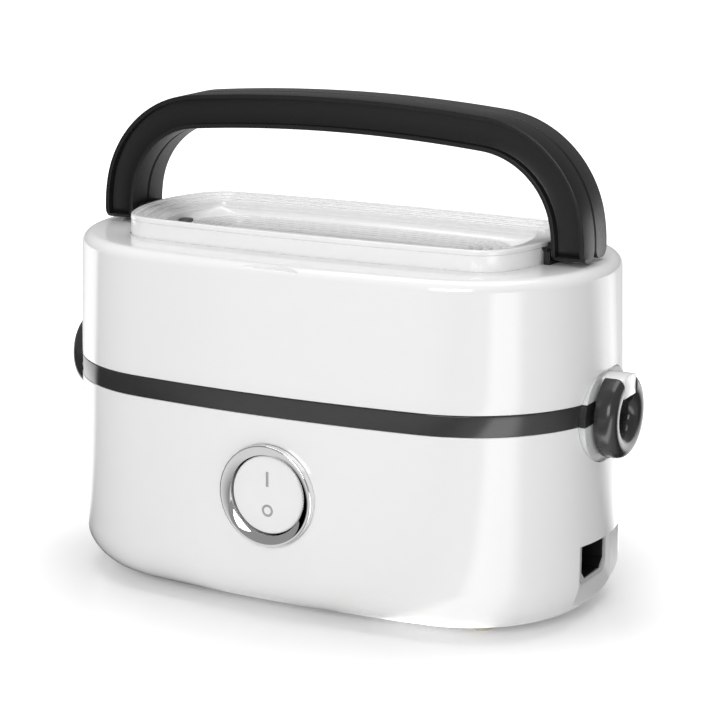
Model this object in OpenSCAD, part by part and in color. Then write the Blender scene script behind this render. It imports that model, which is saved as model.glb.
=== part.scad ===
// Electric lunch box: a heated oval casing with a lift-off lid, two side
// latches and a pair of folding carrying bails.
// Origin: centre of the casing on the surface it stands on. Front faces -Y.

/* [Casing outline] */
// Length of the casing over its two ends
body_l = 230; // [215:1:250]
// Width of the casing, front to back
body_w = 127.2; // [124:0.2:132]
// Radius of the four corner arcs of the outline
corner_r = 58; // [50:1:59]
// How far the long sides bow out past the corner arcs
side_bow = 3; // [1:0.5:4]
// Wall of the plastic mouldings
wall = 2.4; // [1.8:0.1:3]

/* [Casing heights] */
// Height of the rubber feet
foot_h = 2; // [1.5:0.1:4]
// Height of the lower casing
base_h = 80; // [76:1:92]
// Height of the dark trim band
band_h = 8.2; // [7:0.2:10]
// Height of the lid wall, band to shoulder
lid_h = 50.8; // [46:0.2:60]
// Height of the raised oval on the lid
boss_h = 8.1; // [7.6:0.1:10]
// Radius of the casing's bottom edge
base_edge_r = 18.5; // [14:0.5:20]
// Radius of the lid's shoulder edge
lid_edge_r = 4.5; // [3:0.5:6]

/* [Raised oval and dish] */
// Length of the raised oval
boss_l = 180.8; // [172:0.2:184]
// Width of the raised oval
boss_w = 78.2; // [72:0.2:84]
// Number of terraces round the dish
terraces = 3; // [2:1:4]
// Width of one terrace
terrace_w = 3.5; // [3:0.1:3.8]
// Drop from one terrace to the next
terrace_drop = 0.8; // [0.5:0.1:1]
// Number of ridges in the dish floor
floor_rings = 5; // [3:1:5]

/* [Carrying bails] */
// Outer length of a bail across its legs
bail_l = 215; // [212:1:217]
// Height of a bail above its hinge pins
bail_rise = 52; // [50:0.5:56]
// Thickness of a bail, front to back
bail_t = 11.2; // [9:0.2:11.4]
// Width of the bail seen from the front
bail_band = 13.6; // [12:0.2:14]
// Width of the rim round the channel
bail_rim = 1.8; // [1.4:0.1:3]
// Depth of the channel in a bail
bail_channel = 3.6; // [2:0.1:3.6]
// Radius of the bail's hinge pins
bail_pin_r = 1.3; // [1:0.1:1.4]

/* [Side latches] */
// Radius of a latch ring
latch_r = 16.8; // [15.5:0.1:17.4]
// Radius of the finger hole in a latch ring
latch_hole_r = 7; // [6:0.5:8]
// Width of the lid lug that the latch hooks over
lug_w = 12; // [9:0.5:13]
// Radius of the latch pins
latch_pin_r = 1.1; // [0.8:0.1:1.3]

/* [Switch and inlet] */
// Outer radius of the chrome ring round the switch
bezel_r = 20.3; // [19:0.1:22]
// Height of the switch centre above the surface
switch_z = 50.9; // [48:0.1:56]
// Radius of the rocker disc
rocker_r = 15.6; // [14:0.1:15.8]
// Width of the inlet opening
inlet_w = 22; // [20:0.2:24]
// Height of the inlet opening
inlet_h = 15.6; // [14:0.2:17]
// Height of the inlet centre above the surface
inlet_z = 25.6; // [24:0.1:27]

/* [Cooking set] */
// Depth of the heated water pan
pan_depth = 44; // [38:1:45]
// Gap between the two food bowls
bowl_split = 6.4; // [4:0.2:10]
// Height of one food bowl
bowl_h = 54; // [44:1:58]

/* [Hidden] */
$fn = 120;
slip = 0.3; // running gap between pieces that part
fit = 0.05; // radial clearance of a pin in its bore
eps = 0.01;
under = 3; // degrees that a corner arc runs on under its neighbours
proud = 0.08; // how far the side and end arcs stand over the corner arcs

// outline = [half length, half width, corner radius, side bow, end bow]
body = [body_l / 2, body_w / 2, corner_r, side_bow, 0.4];
boss = [boss_l / 2, boss_w / 2, 16, 2.6, 4.5];

// heights
base_z = foot_h;
band_z = base_z + base_h;
lid_z = band_z + band_h;
shoulder_z = lid_z + lid_h;
boss_z = shoulder_z + boss_h;
lid_gap = 0.25;
lid_draft = 1.2;
half_l = body_l / 2;
half_w = body_w / 2;

// bottom cover
cover_in = base_edge_r + 8.5;
cover_t = 2.4;
ledge_w = 8;
foot_r = 5;
foot_sink = 1.2;
foot = corner_point(body, cover_in - foot_r + 0.2, 55.2);
screw_x = 50;
screw_y = half_w - side_bow - cover_in - 3.7;
screw_r = 1.5;

// trim band and pan
band_t = 5.4;
band_lip = 3.2;
pan_in = 16;
pan_t = 0.8;
pan_rim_z = lid_z - 1;
pan_z = pan_rim_z + pan_t - pan_depth;
pan_edge_r = 8;
band_skirt = 7;

// heater
heater_r = 36;
heater_t = 5;
element_r = 26;
element_tube_r = 3.3;
stat_r = 8;
stat_h = 9;
clamp_z = pan_z - heater_t - element_tube_r * 2 - 2;
stud_x = 44;

// cooking set
rack_z = pan_z + pan_t + 1.4;
rack_t = 1;
rack_hole_r = 2.4;
rack_feet_h = 1.3;
bowl_z = rack_z + rack_t + slip;
bowl_t = 0.8;
bowl_edge_r = 8;
bowl_lip = 0.6;
bowl_clear = 1.6;
bowl_corner_r = 24;
bowl_bow = 0.8;
// each bowl's outer corner arcs lie inside the pan's corner arcs
bowl_arc = corner_point(inset(body, pan_in + pan_t), bowl_clear + bowl_corner_r, 40);
bowl_far = bowl_arc[0] + bowl_corner_r + bowl_bow;
bowl_x = (bowl_far + bowl_split / 2) / 2;
bowl = [(bowl_far - bowl_split / 2) / 2, bowl_arc[1] + bowl_corner_r + bowl_bow, bowl_corner_r, bowl_bow, bowl_bow];
cover_lip = 3;
cover_plate_t = 1.6;
grip_in = 14;

// dish
terrace_zone = 1.6 + terraces * terrace_w;
dish_z = shoulder_z + 0.6;
dish_t = 2;
ring_outer = [boss_l / 2 - 19.4, boss_w / 2 - 18.1, 17, 0.8, 2.4];
ring_pitch = 3.3;
ring_w = 1.3;
ring_h = 0.8;
vent_x = ring_outer[0] + 4.3;
vent_r = 3;
badge_x = ring_outer[0] + 3.5;
badge_r = 3.7;

// lid inner parts
liner_in = 4.4;
liner_t = 1.6;
liner_z = shoulder_z - 8;
gasket_h = 4;
gasket_w = 3;
gasket_in = 3.3;
gasket_top = lid_z + gasket_h + 1;
liner_post = corner_point(inset(body, liner_in), 7.2, 73.2);

// bails and hinge brackets
bail_gap = 0.8;
bail_y = (bail_gap + bail_t) / 2;
hinge_z = shoulder_z + bail_t / 2 + 0.4;
bail_foot = 4.6;
bail_foot_r = 4;
bail = [bail_l / 2, bail_rise, 46, 2.9, 0.3];
scoop_in = 5;
scoop_r = 11.2;
scoop_roof = 1.8;
bail_in_x = bail_l / 2 - bail_band;
bracket_t = 2.6;
bracket_x = bail_in_x - bracket_t - 0.4;
bracket_h = 1.9;
bracket_w = 2 * bail_y - 1;
bracket_z = liner_z + 1;
bracket_foot_t = 2.4;
bracket_screw_x = bracket_x - 6;
bracket_screw_y = 6;
bracket_screw_r = 1.3;
pin_end_x = bail_in_x + 9;

// side latches
seat_x = half_l - 5;
seat_w = 44;
seat_h = 36;
latch_z = band_z + 1;
latch_back = seat_x + 5.1;
latch_front = seat_x + 13.6;
pivot_z = latch_z - latch_r + 2.7;
pivot_x = half_l + 3.6;
knuckle_r = 2.6;
knuckle_w = 10;
latch_funnel = 3.4;
latch_pin_l = 17;
seat_back = 2.4;
seat_lip = 1.4;

// switch
bezel_proud = 3.2;
bezel_seat_y = half_w - 0.5;
bezel_front_y = half_w + bezel_proud;
bezel_bore_r = rocker_r + 0.5;
bezel_neck_r = bezel_bore_r + 1.3;
bezel_neck = 5.6;
rocker_y = bezel_front_y - 2.2;
rocker_t = 4;
switch_tilt_y = rocker_y - 3.4;
trunnion_r = 1.2;
switch_r = 13.8;
switch_depth = 7.2;

// inlet
pocket_x = half_l - 6;
pocket_w = 38.8;
pocket_top = inlet_z + inlet_h / 2 + 0.6;
pocket_low = 7.6;
inlet_depth = 18;
inlet_wall = 2;
blade_reach = 12;

// ---------- oval outline of tangent arcs ----------
function corner_x(s) = s[0] - s[2] - s[4];
function corner_y(s) = s[1] - s[2] - s[3];
function side_r(s) = (pow(corner_x(s), 2) + pow(s[3], 2) + 2 * s[2] * s[3]) / (2 * s[3]);
function end_r(s) = (pow(corner_y(s), 2) + pow(s[4], 2) + 2 * s[2] * s[4]) / (2 * s[4]);
function side_cy(s) = s[1] - side_r(s);
function end_cx(s) = s[0] - end_r(s);
// angles at which the end arc and the side arc meet the corner arc
function end_angle(s) = atan2(corner_y(s), corner_x(s) - end_cx(s));
function side_angle(s) = atan2(corner_y(s) - side_cy(s), corner_x(s));
// the same outline drawn d further in
function inset(s, d) = [s[0] - d, s[1] - d, s[2] - d, s[3], s[4]];
function polar(c, r, a) = [c[0] + r * cos(a), c[1] + r * sin(a)];
// point at angle a on the corner arc drawn d further in
function corner_point(s, d, a) = polar([corner_x(s), corner_y(s)], s[2] - d, a);

// one pie of the outline, cut from a full circle by two straight lines
module arc_pie(c, r, a0, a1) {
    far = 1.3 * r;
    intersection() {
        translate(c) circle(r, $fn = 360);
        polygon([c, polar(c, far, a0), polar(c, far * 1.4, (a0 + a1) / 2), polar(c, far, a1)]);
    }
}

// solid outline, grown by off; the corner arcs run on under the end and side arcs
module oval(s, off = 0) {
    c = [corner_x(s), corner_y(s)];
    te = end_angle(s);
    ts = side_angle(s);
    ec = [end_cx(s), 0];
    fc = [0, side_cy(s)];
    end_far = 1.5 * (end_r(s) + off);
    side_far = 1.2 * (side_r(s) + off);
    for (mx = [0, 1], my = [0, 1])
        mirror([mx, 0, 0]) mirror([0, my, 0]) arc_pie(c, s[2] + off, te - under, ts + under);
    for (mx = [0, 1]) mirror([mx, 0, 0]) intersection() {
        translate(ec) circle(end_r(s) + off + proud, $fn = 360);
        polygon([[0, -c[1]], [c[0], -c[1]], polar(ec, end_far, -te), polar(ec, end_far, te), c, [0, c[1]]]);
    }
    for (my = [0, 1]) mirror([0, my, 0]) intersection() {
        translate(fc) circle(side_r(s) + off + proud, $fn = 720);
        polygon([[c[0], 0], c, polar(fc, side_far, ts), polar(fc, side_far, 180 - ts), [-c[0], c[1]], [-c[0], 0]]);
    }
}

// sweeps a wall section round the outline; x = 0 of the section is the outline.
// sink moves the corner sweeps up inside the others where the section is round
module oval_ring(s, sink = 0) {
    te = end_angle(s);
    ts = side_angle(s);
    for (mx = [0, 1]) mirror([mx, 0, 0]) translate([end_cx(s), 0, 0])
        rotate([0, 0, -te]) rotate_extrude(angle = 2 * te) translate([end_r(s) + proud, 0]) children();
    for (mx = [0, 1], my = [0, 1]) mirror([mx, 0, 0]) mirror([0, my, 0])
        translate([corner_x(s), corner_y(s), 0]) rotate([0, 0, te - under])
        rotate_extrude(angle = ts - te + 2 * under) translate([s[2], sink]) children();
    for (my = [0, 1]) mirror([0, my, 0]) translate([0, side_cy(s), 0])
        rotate([0, 0, ts]) rotate_extrude(angle = 180 - 2 * ts, $fn = 480)
        translate([side_r(s) + proud, 0]) children();
}

// sweeps a wall section over both ends only, a little past the end arcs
module end_sweep(s) {
    mirror_x() translate([end_cx(s), 0, 0]) rotate([0, 0, -28])
        rotate_extrude(angle = 56) translate([end_r(s), 0]) children();
}

module plate(s, off, z0, z1) {
    translate([0, 0, z0]) linear_extrude(z1 - z0) oval(s, off);
}

// 2D block between two corners
module block2(x0, x1, y0, y1) {
    translate([x0, y0]) square([x1 - x0, y1 - y0]);
}

module block(x0, x1, y0, y1, z0, z1) {
    translate([x0, y0, z0]) cube([x1 - x0, y1 - y0, z1 - z0]);
}

// wall section that turns in at the bottom with radius r, thickness t, lip to -lip
module cup_section(z0, z1, r, t, lip) {
    difference() {
        union() {
            block2(-r, 0, z0 + r, z1);
            intersection() {
                translate([-r, z0 + r]) circle(r);
                block2(-r, 0, z0, z0 + r);
            }
            block2(-lip, -r, z0, z0 + t);
        }
        block2(-lip - 1, -t, z0 + r, z1 + 1);
        intersection() {
            translate([-r, z0 + r]) circle(r - t);
            block2(-r, 0, z0, z0 + r);
        }
        block2(-lip - 1, -r, z0 + t, z1 + 1);
    }
}

// open tub of thin sheet
module tub(s, z0, z1, r, t) {
    oval_ring(s, proud) cup_section(z0, z1, r, t, r + 1);
    plate(s, -r - 0.4, z0 + 2 * proud, z0 + t - proud);
}

// rod along X
module x_rod(x0, x1, y, z, r) {
    translate([x0, y, z]) rotate([0, 90, 0]) cylinder(h = x1 - x0, r = r);
}

// rod along Y
module y_rod(y0, y1, x, z, r) {
    translate([x, y0, z]) rotate([-90, 0, 0]) cylinder(h = y1 - y0, r = r);
}

module mirror_x() {
    children();
    mirror([1, 0, 0]) children();
}

module mirror_y() {
    children();
    mirror([0, 1, 0]) children();
}

module four_corners(x, y) {
    mirror_x() mirror_y() translate([x, y, 0]) children();
}

// ---------- casing ----------
// rounded slot outline of the flat latch seat, drawn in the Y-Z plane
module seat_outline(grow) {
    r = seat_h / 2 + grow;
    side = (seat_w - seat_h) / 2;
    translate([side, 0]) circle(r);
    translate([-side, 0]) circle(r);
    block2(-side, side, -r, r);
}

module seat_cut(grow, x0, x1) {
    translate([x0, 0, latch_z]) rotate([90, 0, 90]) linear_extrude(x1 - x0) seat_outline(grow);
}

// inlet pocket outline with round lower corners, drawn in the Y-Z plane
module pocket_outline(grow) {
    w = pocket_w / 2 + grow;
    r = 6 + grow;
    block2(-w, w, pocket_low - grow + r, pocket_top + grow);
    block2(-w + r, w - r, pocket_low - grow, pocket_top + grow);
    for (side = [-1, 1]) translate([side * (w - r), pocket_low - grow + r]) circle(r);
}

module pocket_cut(grow, x0, x1) {
    translate([x0, 0, 0]) rotate([90, 0, 90]) linear_extrude(x1 - x0) pocket_outline(grow);
}

// inlet mouth: a rectangle with its two lower corners cut off, in the Y-Z plane
module inlet_outline(grow) {
    w = inlet_w / 2 + grow;
    h = inlet_h / 2 + grow;
    c = 3.4;
    translate([0, inlet_z]) polygon([[-w, h], [-w, -h + c], [-w + c, -h], [w - c, -h], [w, -h + c], [w, h]]);
}

module inlet_prism(grow, x0, x1) {
    translate([x0, 0, 0]) rotate([90, 0, 90]) linear_extrude(x1 - x0) inlet_outline(grow);
}

// latch knuckle that carries the pin, on the flat seat
module latch_knuckle() {
    difference() {
        union() {
            y_rod(-knuckle_w / 2, knuckle_w / 2, pivot_x, pivot_z, knuckle_r);
            block(seat_x - 0.5, pivot_x, -knuckle_w / 2, knuckle_w / 2,
                  pivot_z - knuckle_r + 0.8, pivot_z + knuckle_r - 0.2);
        }
        y_rod(-knuckle_w, knuckle_w, pivot_x, pivot_z, latch_pin_r + fit);
    }
}

module base_shell() color("white") {
    difference() {
        union() {
            oval_ring(body, proud) cup_section(base_z, band_z - 2 * proud, base_edge_r, wall, cover_in);
            // ledge over the bottom cover
            difference() {
                plate(body, -cover_in + 2, base_z + cover_t, base_z + cover_t + 2);
                plate(body, -cover_in - ledge_w, base_z, base_z + cover_t + 3);
            }
            // screw posts on the ledge
            four_corners(screw_x, screw_y)
                translate([0, 0, base_z + cover_t]) cylinder(h = 9, r = 3.6);
            // thicker wall behind the latch seats
            intersection() {
                end_sweep(body) block2(-14, -1, latch_z - 30, band_z - 0.1);
                mirror_x() seat_cut(2, seat_x - seat_back, half_l);
            }
            // thicker wall behind the inlet pocket
            intersection() {
                end_sweep(inset(body, 1)) cup_section(base_z + 1, band_z - 20, base_edge_r - 1, 12, base_edge_r);
                pocket_cut(1.6, pocket_x - 2.6, half_l);
            }
        }
        mirror_x() seat_cut(0, seat_x, half_l + 5);
        pocket_cut(0, pocket_x, half_l + 5);
        inlet_prism(inlet_wall + 0.2, pocket_x - 12, half_l);
        // switch hole and the shallow flat round it
        y_rod(-half_w - 1, -half_w + 9, 0, switch_z, bezel_neck_r + 0.2);
        y_rod(-half_w - 1, -bezel_seat_y, 0, switch_z, bezel_r + slip);
        four_corners(screw_x, screw_y)
            translate([0, 0, base_z]) cylinder(h = cover_t + 7, r = screw_r);
        // sockets for the feet
        four_corners(foot[0], foot[1]) translate([0, 0, base_z - 1]) cylinder(h = 1 + foot_sink, r = foot_r);
    }
    mirror_x() latch_knuckle();
}

module bottom_cover() color("gainsboro") difference() {
    plate(body, -cover_in - slip, base_z, base_z + cover_t);
    four_corners(screw_x, screw_y)
        translate([0, 0, base_z - 1]) cylinder(h = cover_t + 2, r = screw_r + 0.3);
    four_corners(screw_x, screw_y)
        translate([0, 0, base_z - 1]) cylinder(h = 1 + 1.2, r = 3);
    // air slots
    for (i = [-4:4]) block(i * 9 - 2, i * 9 + 2, -12, 12, base_z - 1, base_z + cover_t + 1);
}

module rubber_feet() color("ivory") four_corners(foot[0], foot[1]) rotate_extrude() union() {
    block2(0, foot_r, foot_h, foot_h + foot_sink);
    intersection() {
        translate([0, foot_h]) circle(foot_r);
        block2(0, foot_r, 0, foot_h);
    }
}

module bottom_screws() color("silver") four_corners(screw_x, screw_y) {
    translate([0, 0, base_z + 0.1]) cylinder(h = 1.1, r = 2.8);
    translate([0, 0, base_z + 1.1]) cylinder(h = cover_t + 4, r = screw_r);
}

module trim_band() color("dimgray") {
    seat_y = seat_w / 2 + 2;
    difference() {
        union() {
            oval_ring(body, -proud) union() {
                block2(-band_t, -0.15, band_z, pan_rim_z);
                block2(-band_lip, -0.15, pan_rim_z - 0.5, lid_z);
            }
            // full depth behind each latch seat, with a lip outside the pan
            mirror_x() intersection() {
                union() {
                    block(seat_x - seat_back, half_l, -seat_y, seat_y, band_z + proud, pan_rim_z - 3 * proud);
                    block(seat_x - seat_lip, half_l, -seat_y, seat_y, band_z + 1, lid_z - proud / 2);
                }
                plate(body, -1, band_z, lid_z);
            }
        }
        mirror_x() seat_cut(0, seat_x, half_l + 5);
    }
    // skirt inside the casing wall
    difference() {
        oval_ring(body, -proud) block2(-band_t + 0.1, -wall - 0.2, band_z - band_skirt, band_z + 0.5);
        mirror_x() seat_cut(2 + slip, seat_x - seat_back - slip, half_l + 5);
    }
}

// ---------- pan and heater ----------
pan = inset(body, pan_in);

module water_pan() color("lightsteelblue") {
    tub(pan, pan_z, pan_rim_z + 0.4, pan_edge_r, pan_t);
    difference() {
        plate(body, -band_lip - slip, pan_rim_z - 0.02, pan_rim_z + pan_t);
        plate(pan, -pan_t / 2, pan_rim_z - 1, pan_rim_z + 2);
        mirror_x() block(seat_x - seat_lip - slip, half_l, -half_w, half_w, pan_rim_z - 1, pan_rim_z + 2);
    }
    for (side = [-1, 1]) translate([side * stud_x, 0, clamp_z - 6])
        cylinder(h = pan_z - clamp_z + 6.4, r = 2);
}

module heater_plate() color("silver") difference() {
    translate([0, 0, pan_z - heater_t]) cylinder(h = heater_t, r = heater_r);
    translate([0, 0, pan_z - heater_t - 1]) cylinder(h = heater_t - 1, r = stat_r + 1);
}

module heating_element() color("darkgray") translate([0, 0, pan_z - heater_t - element_tube_r]) {
    rotate([0, 0, -70]) rotate_extrude(angle = 320) translate([element_r, 0]) circle(element_tube_r - eps);
    for (a = [-70, 250]) rotate([0, 0, a]) translate([element_r, 0, 0]) rotate([a < 0 ? 90 : -90, 0, 0])
        translate([0, 0, -1]) cylinder(h = 9, r = element_tube_r - 0.5);
}

module thermostat() color("wheat") translate([0, 0, pan_z - 2.2 - stat_h]) {
    cylinder(h = stat_h, r = stat_r);
    for (side = [-1, 1]) block(side * 5 - 2.4, side * 5 + 2.4, -0.4, 0.4, -5, 1);
}

module thermal_fuse() color("white") {
    y_rod(-9, 9, heater_r + 3, pan_z - 2.6, 2.4);
    y_rod(-14, 14, heater_r + 3, pan_z - 2.6, 0.6);
}

module heater_clamp() color("silver") difference() {
    union() {
        translate([0, 0, clamp_z - 1.6]) linear_extrude(1.6) union() {
            block2(-stud_x, stud_x, -7, 7);
            circle(stat_r + 6);
            for (side = [-1, 1]) translate([side * stud_x, 0]) circle(7);
        }
        // pads that press on the element
        for (side = [-1, 1]) block(side * element_r - 4, side * element_r + 4, -7, 7,
                                   clamp_z - 1, clamp_z + 2 - slip);
    }
    translate([0, 0, clamp_z - 5]) cylinder(h = 9, r = stat_r + 2);
    for (side = [-1, 1]) translate([side * stud_x, 0, clamp_z - 5]) cylinder(h = 9, r = 2.2);
}

module clamp_nuts() color("silver") for (side = [-1, 1])
    translate([side * stud_x, 0, clamp_z - 1.6 - 3]) difference() {
        cylinder(h = 3, r = 3.8, $fn = 6);
        translate([0, 0, -1]) cylinder(h = 5, r = 2 + fit);
    }

// ---------- switch ----------
// turns a profile about the switch's own axis; section y runs outwards
module switch_turn() {
    translate([0, 0, switch_z]) rotate([90, 0, 0]) rotate_extrude() children();
}

module switch_bezel() color("silver") difference() {
    switch_turn() polygon([
        [bezel_bore_r, bezel_seat_y - bezel_neck], [bezel_neck_r, bezel_seat_y - bezel_neck],
        [bezel_neck_r, bezel_seat_y], [bezel_r, bezel_seat_y], [bezel_r, bezel_front_y - 0.6],
        [bezel_r - 0.5, bezel_front_y], [bezel_r - 1.1, bezel_front_y],
        [bezel_bore_r, rocker_y - 0.6]
    ]);
    // bearing holes for the rocker's trunnions
    x_rod(-bezel_neck_r - 1, bezel_neck_r + 1, -switch_tilt_y, switch_z, trunnion_r + fit);
}

module switch_rocker() color("white") {
    difference() {
        switch_turn() union() {
            block2(0, rocker_r, rocker_y - rocker_t, rocker_y - 0.5);
            block2(0, rocker_r - 0.5, rocker_y - 1, rocker_y);
            intersection() {
                translate([rocker_r - 0.5, rocker_y - 0.5]) circle(0.5);
                block2(rocker_r - 0.5, rocker_r, rocker_y - 0.5, rocker_y);
            }
        }
        // the on stroke and the off ring are sunk into the face
        block(-0.6, 0.6, -rocker_y - 1, -rocker_y + 0.3, switch_z + 3.4, switch_z + 9.4);
        translate([0, 0, switch_z - 6.2]) rotate([90, 0, 0]) rotate_extrude()
            block2(1.5, 2.5, rocker_y - 0.3, rocker_y + 1);
    }
    x_rod(-bezel_neck_r + 0.2, -rocker_r + 1, -switch_tilt_y, switch_z, trunnion_r);
    x_rod(rocker_r - 1, bezel_neck_r - 0.2, -switch_tilt_y, switch_z, trunnion_r);
}

module switch_body() color("black") {
    back_y = bezel_seat_y - bezel_neck - switch_depth;
    difference() {
        y_rod(-bezel_seat_y + bezel_neck, -back_y, 0, switch_z, bezel_neck_r);
        y_rod(-bezel_seat_y + bezel_neck - 1, -back_y - 3, 0, switch_z, switch_r);
    }
    for (side = [-1, 1]) block(side * 6 - 2.4, side * 6 + 2.4, -back_y - 1, -back_y + 0.6,
                               switch_z - 12.5, switch_z - 4);
}

// ---------- inlet ----------
module inlet_housing() color("black") difference() {
    union() {
        inlet_prism(inlet_wall, pocket_x - inlet_depth, pocket_x - 0.4);
        inlet_prism(inlet_wall + 2.2, pocket_x - 4.2, pocket_x - 2.7);
    }
    inlet_prism(0, pocket_x - inlet_depth + 3, pocket_x + 1);
    // slots for the three blades
    for (b = blades) inlet_blade_block(b, fit, pocket_x - inlet_depth - 1, pocket_x);
}

// blade centres: live, neutral and earth, as [y, z] from the inlet centre
blades = [[-7, 2.4], [7, 2.4], [0, -2.4]];

module inlet_blade_block(b, grow, x0, x1) {
    block(x0, x1, b[0] - 1 - grow, b[0] + 1 + grow,
          inlet_z + b[1] - 2.4 - grow, inlet_z + b[1] + 2.4 + grow);
}

module inlet_blades() color("silver") for (b = blades)
    inlet_blade_block(b, 0, pocket_x - inlet_depth - 6, pocket_x - inlet_depth + blade_reach);

// ---------- latches ----------
module latch_ring() color("dimgray") difference() {
    union() {
        // drum with a soft front rim
        translate([0, 0, latch_z]) rotate([0, 90, 0]) rotate_extrude() difference() {
            union() {
                block2(latch_hole_r, latch_r, latch_back, latch_front - 2.4);
                block2(latch_hole_r, latch_r - 2.4, latch_front - 3, latch_front);
                intersection() {
                    translate([latch_r - 2.4, latch_front - 2.4]) circle(2.4);
                    block2(latch_r - 2.4, latch_r, latch_front - 2.4, latch_front);
                }
            }
            // funnel into the finger hole
            polygon([[latch_hole_r - 1, latch_front + 1], [latch_hole_r - 1, latch_front - latch_funnel],
                     [latch_hole_r, latch_front - latch_funnel],
                     [latch_hole_r + latch_funnel, latch_front], [latch_hole_r + latch_funnel, latch_front + 1]]);
        }
    }
    // notch for the lid lug
    block(latch_back - 1, latch_front + 1, -lug_w / 2 - slip, lug_w / 2 + slip,
          latch_z, latch_z + latch_r + 1);
    // room for the knuckle
    block(latch_back - 1, pivot_x + knuckle_r + slip, -knuckle_w / 2 - slip, knuckle_w / 2 + slip,
          latch_z - latch_r - 1, pivot_z + knuckle_r + slip);
    // bore of the pin
    y_rod(-latch_pin_l / 2, latch_pin_l / 2, pivot_x, pivot_z, latch_pin_r);
}

module latch_pin() color("silver") y_rod(-latch_pin_l / 2, latch_pin_l / 2, pivot_x, pivot_z, latch_pin_r);

module latch_ring_right() latch_ring();
module latch_ring_left() mirror([1, 0, 0]) latch_ring();
module latch_pin_right() latch_pin();
module latch_pin_left() mirror([1, 0, 0]) latch_pin();

// ---------- cooking set ----------
rack = inset(pan, 5);

module steam_rack() color("silver") {
    difference() {
        plate(rack, 0, rack_z, rack_z + rack_t);
        for (i = [-7:7], j = [-2:2]) translate([i * 11, j * 13, rack_z - 1])
            cylinder(h = rack_t + 2, r = rack_hole_r, $fn = 24);
    }
    four_corners(60, 20) translate([0, 0, rack_z - rack_feet_h]) cylinder(h = rack_feet_h + 0.5, r = 3);
}

module food_bowl() color("silver") translate([bowl_x, 0, 0]) {
    tub(bowl, bowl_z, bowl_z + bowl_h - 2 * proud, bowl_edge_r, bowl_t);
    oval_ring(bowl, proud) block2(-bowl_t / 2, bowl_lip, bowl_z + bowl_h - 1.2, bowl_z + bowl_h - proud);
}

module bowl_cover() color("aliceblue") translate([bowl_x, 0, 0]) {
    top = bowl_z + bowl_h;
    plate(bowl, bowl_lip, top, top + cover_plate_t);
    // plug rim inside the bowl
    oval_ring(bowl) block2(-bowl_t - slip - 1.4, -bowl_t - slip, top - cover_lip, top + 0.5);
    // grip ridge
    oval_ring(inset(bowl, grip_in)) block2(-1.6, 0, top + 1, top + 3);
}

module food_bowl_right() food_bowl();
module food_bowl_left() mirror([1, 0, 0]) food_bowl();
module bowl_cover_right() bowl_cover();
module bowl_cover_left() mirror([1, 0, 0]) bowl_cover();

// ---------- lid ----------
// outer wall of the lid: slight draft, then a round shoulder edge
module lid_section(t) {
    top = shoulder_z;
    r = lid_edge_r;
    low = lid_z + lid_gap;
    difference() {
        union() {
            polygon([[0, low], [-lid_draft, top - r], [-lid_draft - r, top - r], [-9, top - r], [-9, low]]);
            intersection() {
                translate([-lid_draft - r, top - r]) circle(r);
                block2(-lid_draft - r, 1, top - r, top);
            }
            block2(-9, -lid_draft - r, top - r - 1, top);
        }
        polygon([[-t, low - 1], [-t - lid_draft, top - r], [-t - lid_draft - 2, top - t],
                 [-12, top - t], [-12, low - 1]]);
    }
}

// slot for the hinge bracket, opened inwards by back and outwards by out
module bracket_slot(back, out) {
    w = bracket_w + 0.15;
    block(bracket_x - back, bracket_x + bracket_t + out, -w, w, bracket_z - 1, shoulder_z + 1);
}

module lid_shell() color("white") {
    difference() {
        union() {
            oval_ring(body, -proud) lid_section(wall);
            difference() {
                plate(body, -7.3, shoulder_z - wall + 2 * proud, shoulder_z - 2 * proud);
                plate(boss, slip, shoulder_z - wall - 1, shoulder_z + 1);
            }
            // thicker wall behind the latch seats
            intersection() {
                end_sweep(body) block2(-14, -1.6, lid_z + lid_gap + 0.05, latch_z + 30);
                mirror_x() seat_cut(2, seat_x - seat_back, half_l);
            }
        }
        mirror_x() seat_cut(0, seat_x, half_l + 5);
        mirror_x() bracket_slot(1.2, 0.15);
        // finger scoop: the front shoulder edge dips to a flat lens
        translate([0, 0, shoulder_z - 2]) linear_extrude(4) intersection() {
            translate([0, -half_w - 30.5]) circle(35);
            translate([0, -half_w + 2]) square([40, 8], center = true);
        }
    }
}

// lug that stands on the seat in the shell, its top follows the latch ring
module latch_lug() color("white") intersection() {
    block(seat_x, latch_front - 0.4, -lug_w / 2, lug_w / 2, lid_z + lid_gap + 0.1, latch_z + 30);
    x_rod(seat_x - 3, latch_front + 1, 0, latch_z, latch_r - 0.2);
}

module latch_lug_right() latch_lug();
module latch_lug_left() mirror([1, 0, 0]) latch_lug();

// height of the top surface of one terrace, counted from the rim
function terrace_z(i) = boss_z - i * terrace_drop;

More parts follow.
